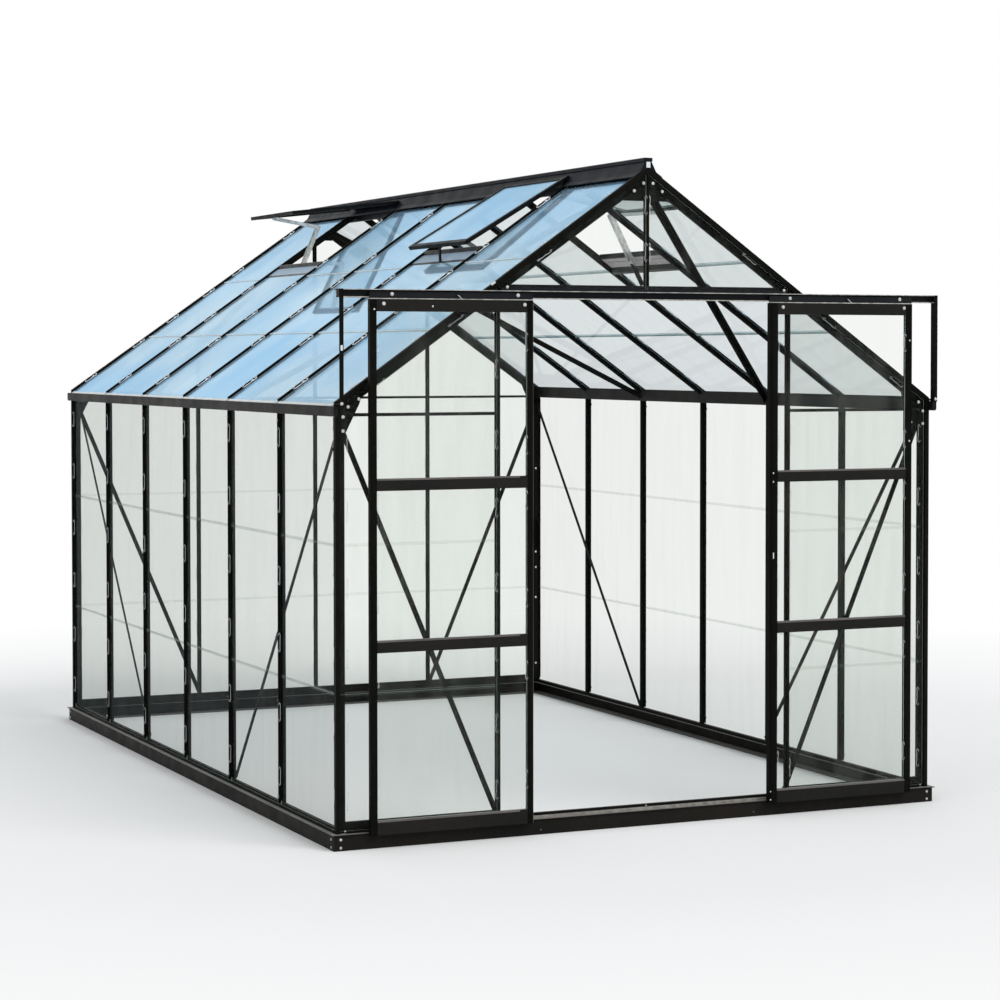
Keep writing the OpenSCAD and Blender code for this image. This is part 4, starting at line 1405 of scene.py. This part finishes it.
@dataclass
class DoorFittings(Fittings):
    """Cover strips, bolts, screws, levers and edge seals of one sliding leaf."""

    leaf: DoorLeaf
    wheel_z: float = 2.034
    bolt_z: float = 1.999
    bolt_size: Pair = (0.0058, 0.003)
    screw_size: Pair = (0.0030, 0.0018)
    cover_in: float = 0.0265
    cover: Point = (0.0014, 0.002, 0.007)
    top: Point = (0.0018, 0.0065, 0.0006)
    foot: Point = (0.0002, 0.0004, 0.0034)
    inset: float = 0.001
    seal_x: Pair = (0.0130, 0.0002)
    trim_x: Pair = (0.0014, 0.0001)
    proud: Pair = (0.0010, 0.0006)
    sunk: float = 0.0004
    trim_soften: float = 0.0003
    latch: Bar = ((0.5240, -0.0008, 1.015), (0.5290, 0.0, 1.038))
    lever_plate: Bar = ((-0.005, -0.0020, 2.019), (0.005, 0.0, 2.038))
    lever_pin: Bar = ((0.0, 0.0, 2.0325), (0.0, -0.0045, 2.0325))
    lever_bend: tuple[Point, ...] = (
        (0.0, -0.004, 2.0325),
        (0.006, -0.006, 2.0300),
        (0.014, -0.006, 2.0210),
        (0.020, -0.004, 2.0180),
    )
    pin_radius: float = 0.0035
    lever_radius: float = 0.0010

    def fit(
        self, name: str, bars: Iterable[Bar], slot: Slot, finish: bpy.types.Material, soften: float = 0.0006
    ) -> None:
        """Make one piece of the leaf out of flat bars, named after the leaf."""
        piece = self.shop.bars(self.leaf.name + name, bars, soften)
        self.shop.hand_over(piece, slot, finish, self.leaf.body)

    def shifted(self, points: Sequence[Point], x: float, y: float) -> list[Point]:
        """Move points across the house and along it."""
        return [(x + across, y + along, z) for across, along, z in points]

    def make(self) -> None:
        """Build the leaf's fittings."""
        self.covers()
        self.bolts()
        self.edges()
        self.lever()

    def covers(self) -> None:
        """Make the facing covers of the rails, their pale top strips that paint the rails' top highlight, and
        the pale strip at the foot of the roller plate that paints its edge highlight.
        """
        leaf, palette = self.leaf, self.palette
        width, y = abs(leaf.lead - leaf.trail), leaf.face("_rails")
        x0, x1 = leaf.across(self.cover_in, width - leaf.lead_w - leaf.cover_gap)
        proud, low_in, high_in = self.cover
        covers = [((x0, y - proud, low + low_in), (x1, y, high - high_in)) for low, high in leaf.rails[:3]]
        self.fit("_rail_covers", covers, Slot.FRAME, palette.rails)
        proud, below, above = self.top
        tops = [((x0, y - proud, high - below), (x1, y, high + above)) for _, high in leaf.rails[:3]]
        # Pale top strips: painted highlight on the rails' tops.
        self.fit("_cover_tops", tops, Slot.FRAME, palette.lip)
        x0, x1 = leaf.across(self.inset, width - self.inset)
        behind, below, above = self.foot
        rail = leaf.rails[3][1]
        foot = (x0, y + behind, rail - below), (x1, leaf.face("_rollers"), rail + above)
        # Pale foot strip: painted highlight at the foot of the roller plate.
        self.fit("_plate_foot", [foot], Slot.FRAME, palette.edge_highlight)

    def bolts(self) -> None:
        """Make the wheel bolts, the rail bolts and the screws."""
        leaf, zinc = self.leaf, self.palette.zinc
        wheels = [leaf.trail + leaf.inward * run for run in (leaf.wheel_in, leaf.wheel_in + leaf.wheel_span)]
        seats = self.on_gable([(x, self.wheel_z) for x in wheels], leaf.face("_rollers"), -1)
        seats += self.on_gable([(x, self.bolt_z) for x in leaf.top_bolts], leaf.face("_rails"), -1)
        bolt = self.shop.bolt("door_bolt_master", *self.bolt_size)
        self.shop.spread(bolt, leaf.name + "_bolts", seats, Slot.BRIGHT, zinc, leaf.body)
        screw = self.shop.bolt("screw_master", *self.screw_size)
        seats = self.on_gable(leaf.screws, leaf.face("_stiles"), -1)
        self.shop.spread(screw, leaf.name + "_screws", seats, Slot.BRIGHT, zinc, leaf.body)

    def edges(self) -> None:
        """Make the seal on the right leaf's leading edge or, on the left leaf, the pale trim that paints the
        leading edge's highlight, and the right leaf's bright slot.
        """
        leaf, palette = self.leaf, self.palette
        width, y = abs(leaf.lead - leaf.trail), leaf.face("_stiles")
        low, high = leaf.rails[0][0] + self.inset, leaf.rails[3][1] - self.inset
        right = leaf.body is Body.DOOR_RIGHT
        start, end = self.seal_x if right else self.trim_x
        x0, x1 = leaf.across(width - start, width - end)
        strip = (x0, y - self.proud[not right], low), (x1, y + self.sunk, high)
        if right:
            self.fit("_edge_seal", [strip], Slot.PLASTIC, palette.rubber)
            self.fit("_latch_slot", [self.shifted(self.latch, 0.0, y)], Slot.BRIGHT, palette.zinc)
        else:
            # Pale trim: painted highlight along the left leaf's leading edge.
            self.fit("_edge_trim", [strip], Slot.FRAME, palette.lip, self.trim_soften)

    def lever(self) -> None:
        """Make the small wire lever on the top rail."""
        leaf, shop, palette = self.leaf, self.shop, self.palette
        place = leaf.lever_x, leaf.face("_rollers")
        shop.open(leaf.name + "_lever_plate")
        shop.slab(*self.shifted(self.lever_plate, *place))
        shop.rod(*self.shifted(self.lever_pin, *place), self.pin_radius)
        shop.hand_over(shop.close(), Slot.PLASTIC, palette.plastic, leaf.body)
        bend = self.shifted(self.lever_bend, *place)
        wire = shop.wire(leaf.name + "_lever_wire", bend, self.lever_radius)
        shop.hand_over(wire, Slot.BRIGHT, palette.wire, leaf.body)


@dataclass(frozen=True)
class CameraSettings:
    """Where the camera stands and how it looks."""

    place: Point = (-4.533, -10.778, 1.806)
    yaw: float = 24.850
    pitch: float = -1.828
    lens: float = 93.61
    sensor: float = 36.0
    shift_across: float = -0.0513
    shift_up: float = -0.0605
    reach: float = 200.0


@dataclass(frozen=True)
class StudioLevels:
    """Levels of the soft studio light: each lamp's strength, its lean from straight down and its turn."""

    dome: float = 0.62
    dome_tone: tuple[float, float, float, float] = (0.97, 0.985, 1.0, 1.0)
    key: Point = (1.45, 48.0, 28.0)
    fill: Point = (0.28, 55.0, -70.0)
    spread: float = 40.0
    floor_tone: Colour = (247, 247, 247)
    floor_radius: float = 90.0
    near: float = 3.2
    far: float = 6.5


class Studio:
    """Camera, soft light, pale floor and plain white surroundings."""

    def __init__(self, camera: CameraSettings, levels: StudioLevels) -> None:
        """Keep the settings."""
        self.camera = camera
        self.levels = levels

    def stand(self, name: str, data: bpy.types.ID, lean: float, turn: float) -> bpy.types.Object:
        """Put a camera or a lamp into the scene.

        Args:
            name: its name.
            data: its settings.
            lean: degrees that it leans from straight down.
            turn: degrees that it is turned about the upright axis.

        Returns:
            Its object.
        """
        holder = bpy.data.objects.new(name, data)
        holder.rotation_euler = Euler((math.radians(lean), 0, math.radians(turn)))
        bpy.context.collection.objects.link(holder)
        return holder

    def set_camera(self) -> None:
        """Stand the camera in its place."""
        camera = self.camera
        data = bpy.data.cameras.new("view_camera")
        data.lens, data.sensor_width, data.clip_end = camera.lens, camera.sensor, camera.reach
        data.shift_x, data.shift_y = camera.shift_across, camera.shift_up
        holder = self.stand("view_camera", data, 90 + camera.pitch, -camera.yaw)
        holder.location = camera.place
        bpy.context.scene.camera = holder

    def set_world(self) -> None:
        """Light the house softly from all round, and show plain white behind it."""
        bench = ShaderBench("studio_world", "World")
        dome = bench.add("Background", Color=self.levels.dome_tone, Strength=self.levels.dome)
        white = bench.add("Background", Color=WHITE, Strength=1.0)
        bpy.context.scene.world = bench.finish(bench.cover(bench.seen(), dome.outputs[0], white.outputs[0]))

    def add_lamps(self) -> None:
        """Add the two broad, even lamps far away."""
        for name, (strength, lean, turn) in (("key_lamp", self.levels.key), ("fill_lamp", self.levels.fill)):
            data = bpy.data.lights.new(name, "SUN")
            data.energy = strength
            data.angle = math.radians(self.levels.spread)
            self.stand(name, data, lean, turn)

    def lay_floor(self) -> None:
        """Lay a pale floor that keeps the shadow near the house and fades into the white further out."""
        levels = self.levels
        bpy.ops.mesh.primitive_circle_add(
            vertices=96, radius=levels.floor_radius, fill_type="NGON", location=(0, 0, 0)
        )
        floor = bpy.context.object
        floor.name = "studio_floor"
        bench = ShaderBench("studio_floor")
        matt = bench.add("BsdfDiffuse", Color=linear(levels.floor_tone))
        glow = bench.add("Emission", Color=WHITE, Strength=1.0)
        length = bench.add("VectorMath", operation="LENGTH")
        bench.join(bench.place.outputs["Object"], length.inputs[0])
        away = bench.ranged(length.outputs["Value"], (levels.near, levels.far), (0, 1))
        share = bench.work("MULTIPLY", away, bench.seen())
        floor.data.materials.append(bench.finish(bench.cover(share, matt.outputs[0], glow.outputs[0])))

    def set_up(self) -> None:
        """Build the whole studio."""
        scene = bpy.context.scene
        scene.view_settings.view_transform = "Standard"
        scene.cycles.transparent_max_bounces = 32
        self.set_camera()
        self.set_world()
        self.add_lamps()
        self.lay_floor()


def main() -> None:
    """Dress the frame, add the hardware and set up the studio."""
    logging.basicConfig(level=logging.INFO, format="%(name)s: %(message)s")
    bpy.ops.object.select_all(action="DESELECT")
    palette = Palette()
    FrameDresser(palette).dress()
    shop = Workshop()
    house = HouseLayout.measure()
    for group in (BaseFittings, FrameBolts, LapStrips, BarSeals, WireClips):
        group(shop, house, palette).make()
    for group in (EaveFittings, RidgeFittings, VentFittings, TrackFittings):
        group(shop, house, palette).make()
    for leaf in (DoorLeaf.left(), DoorLeaf.right()):
        DoorFittings(shop, house, palette, leaf).make()
    Studio(CameraSettings(), StudioLevels()).set_up()


if __name__ == "__main__":
    main()
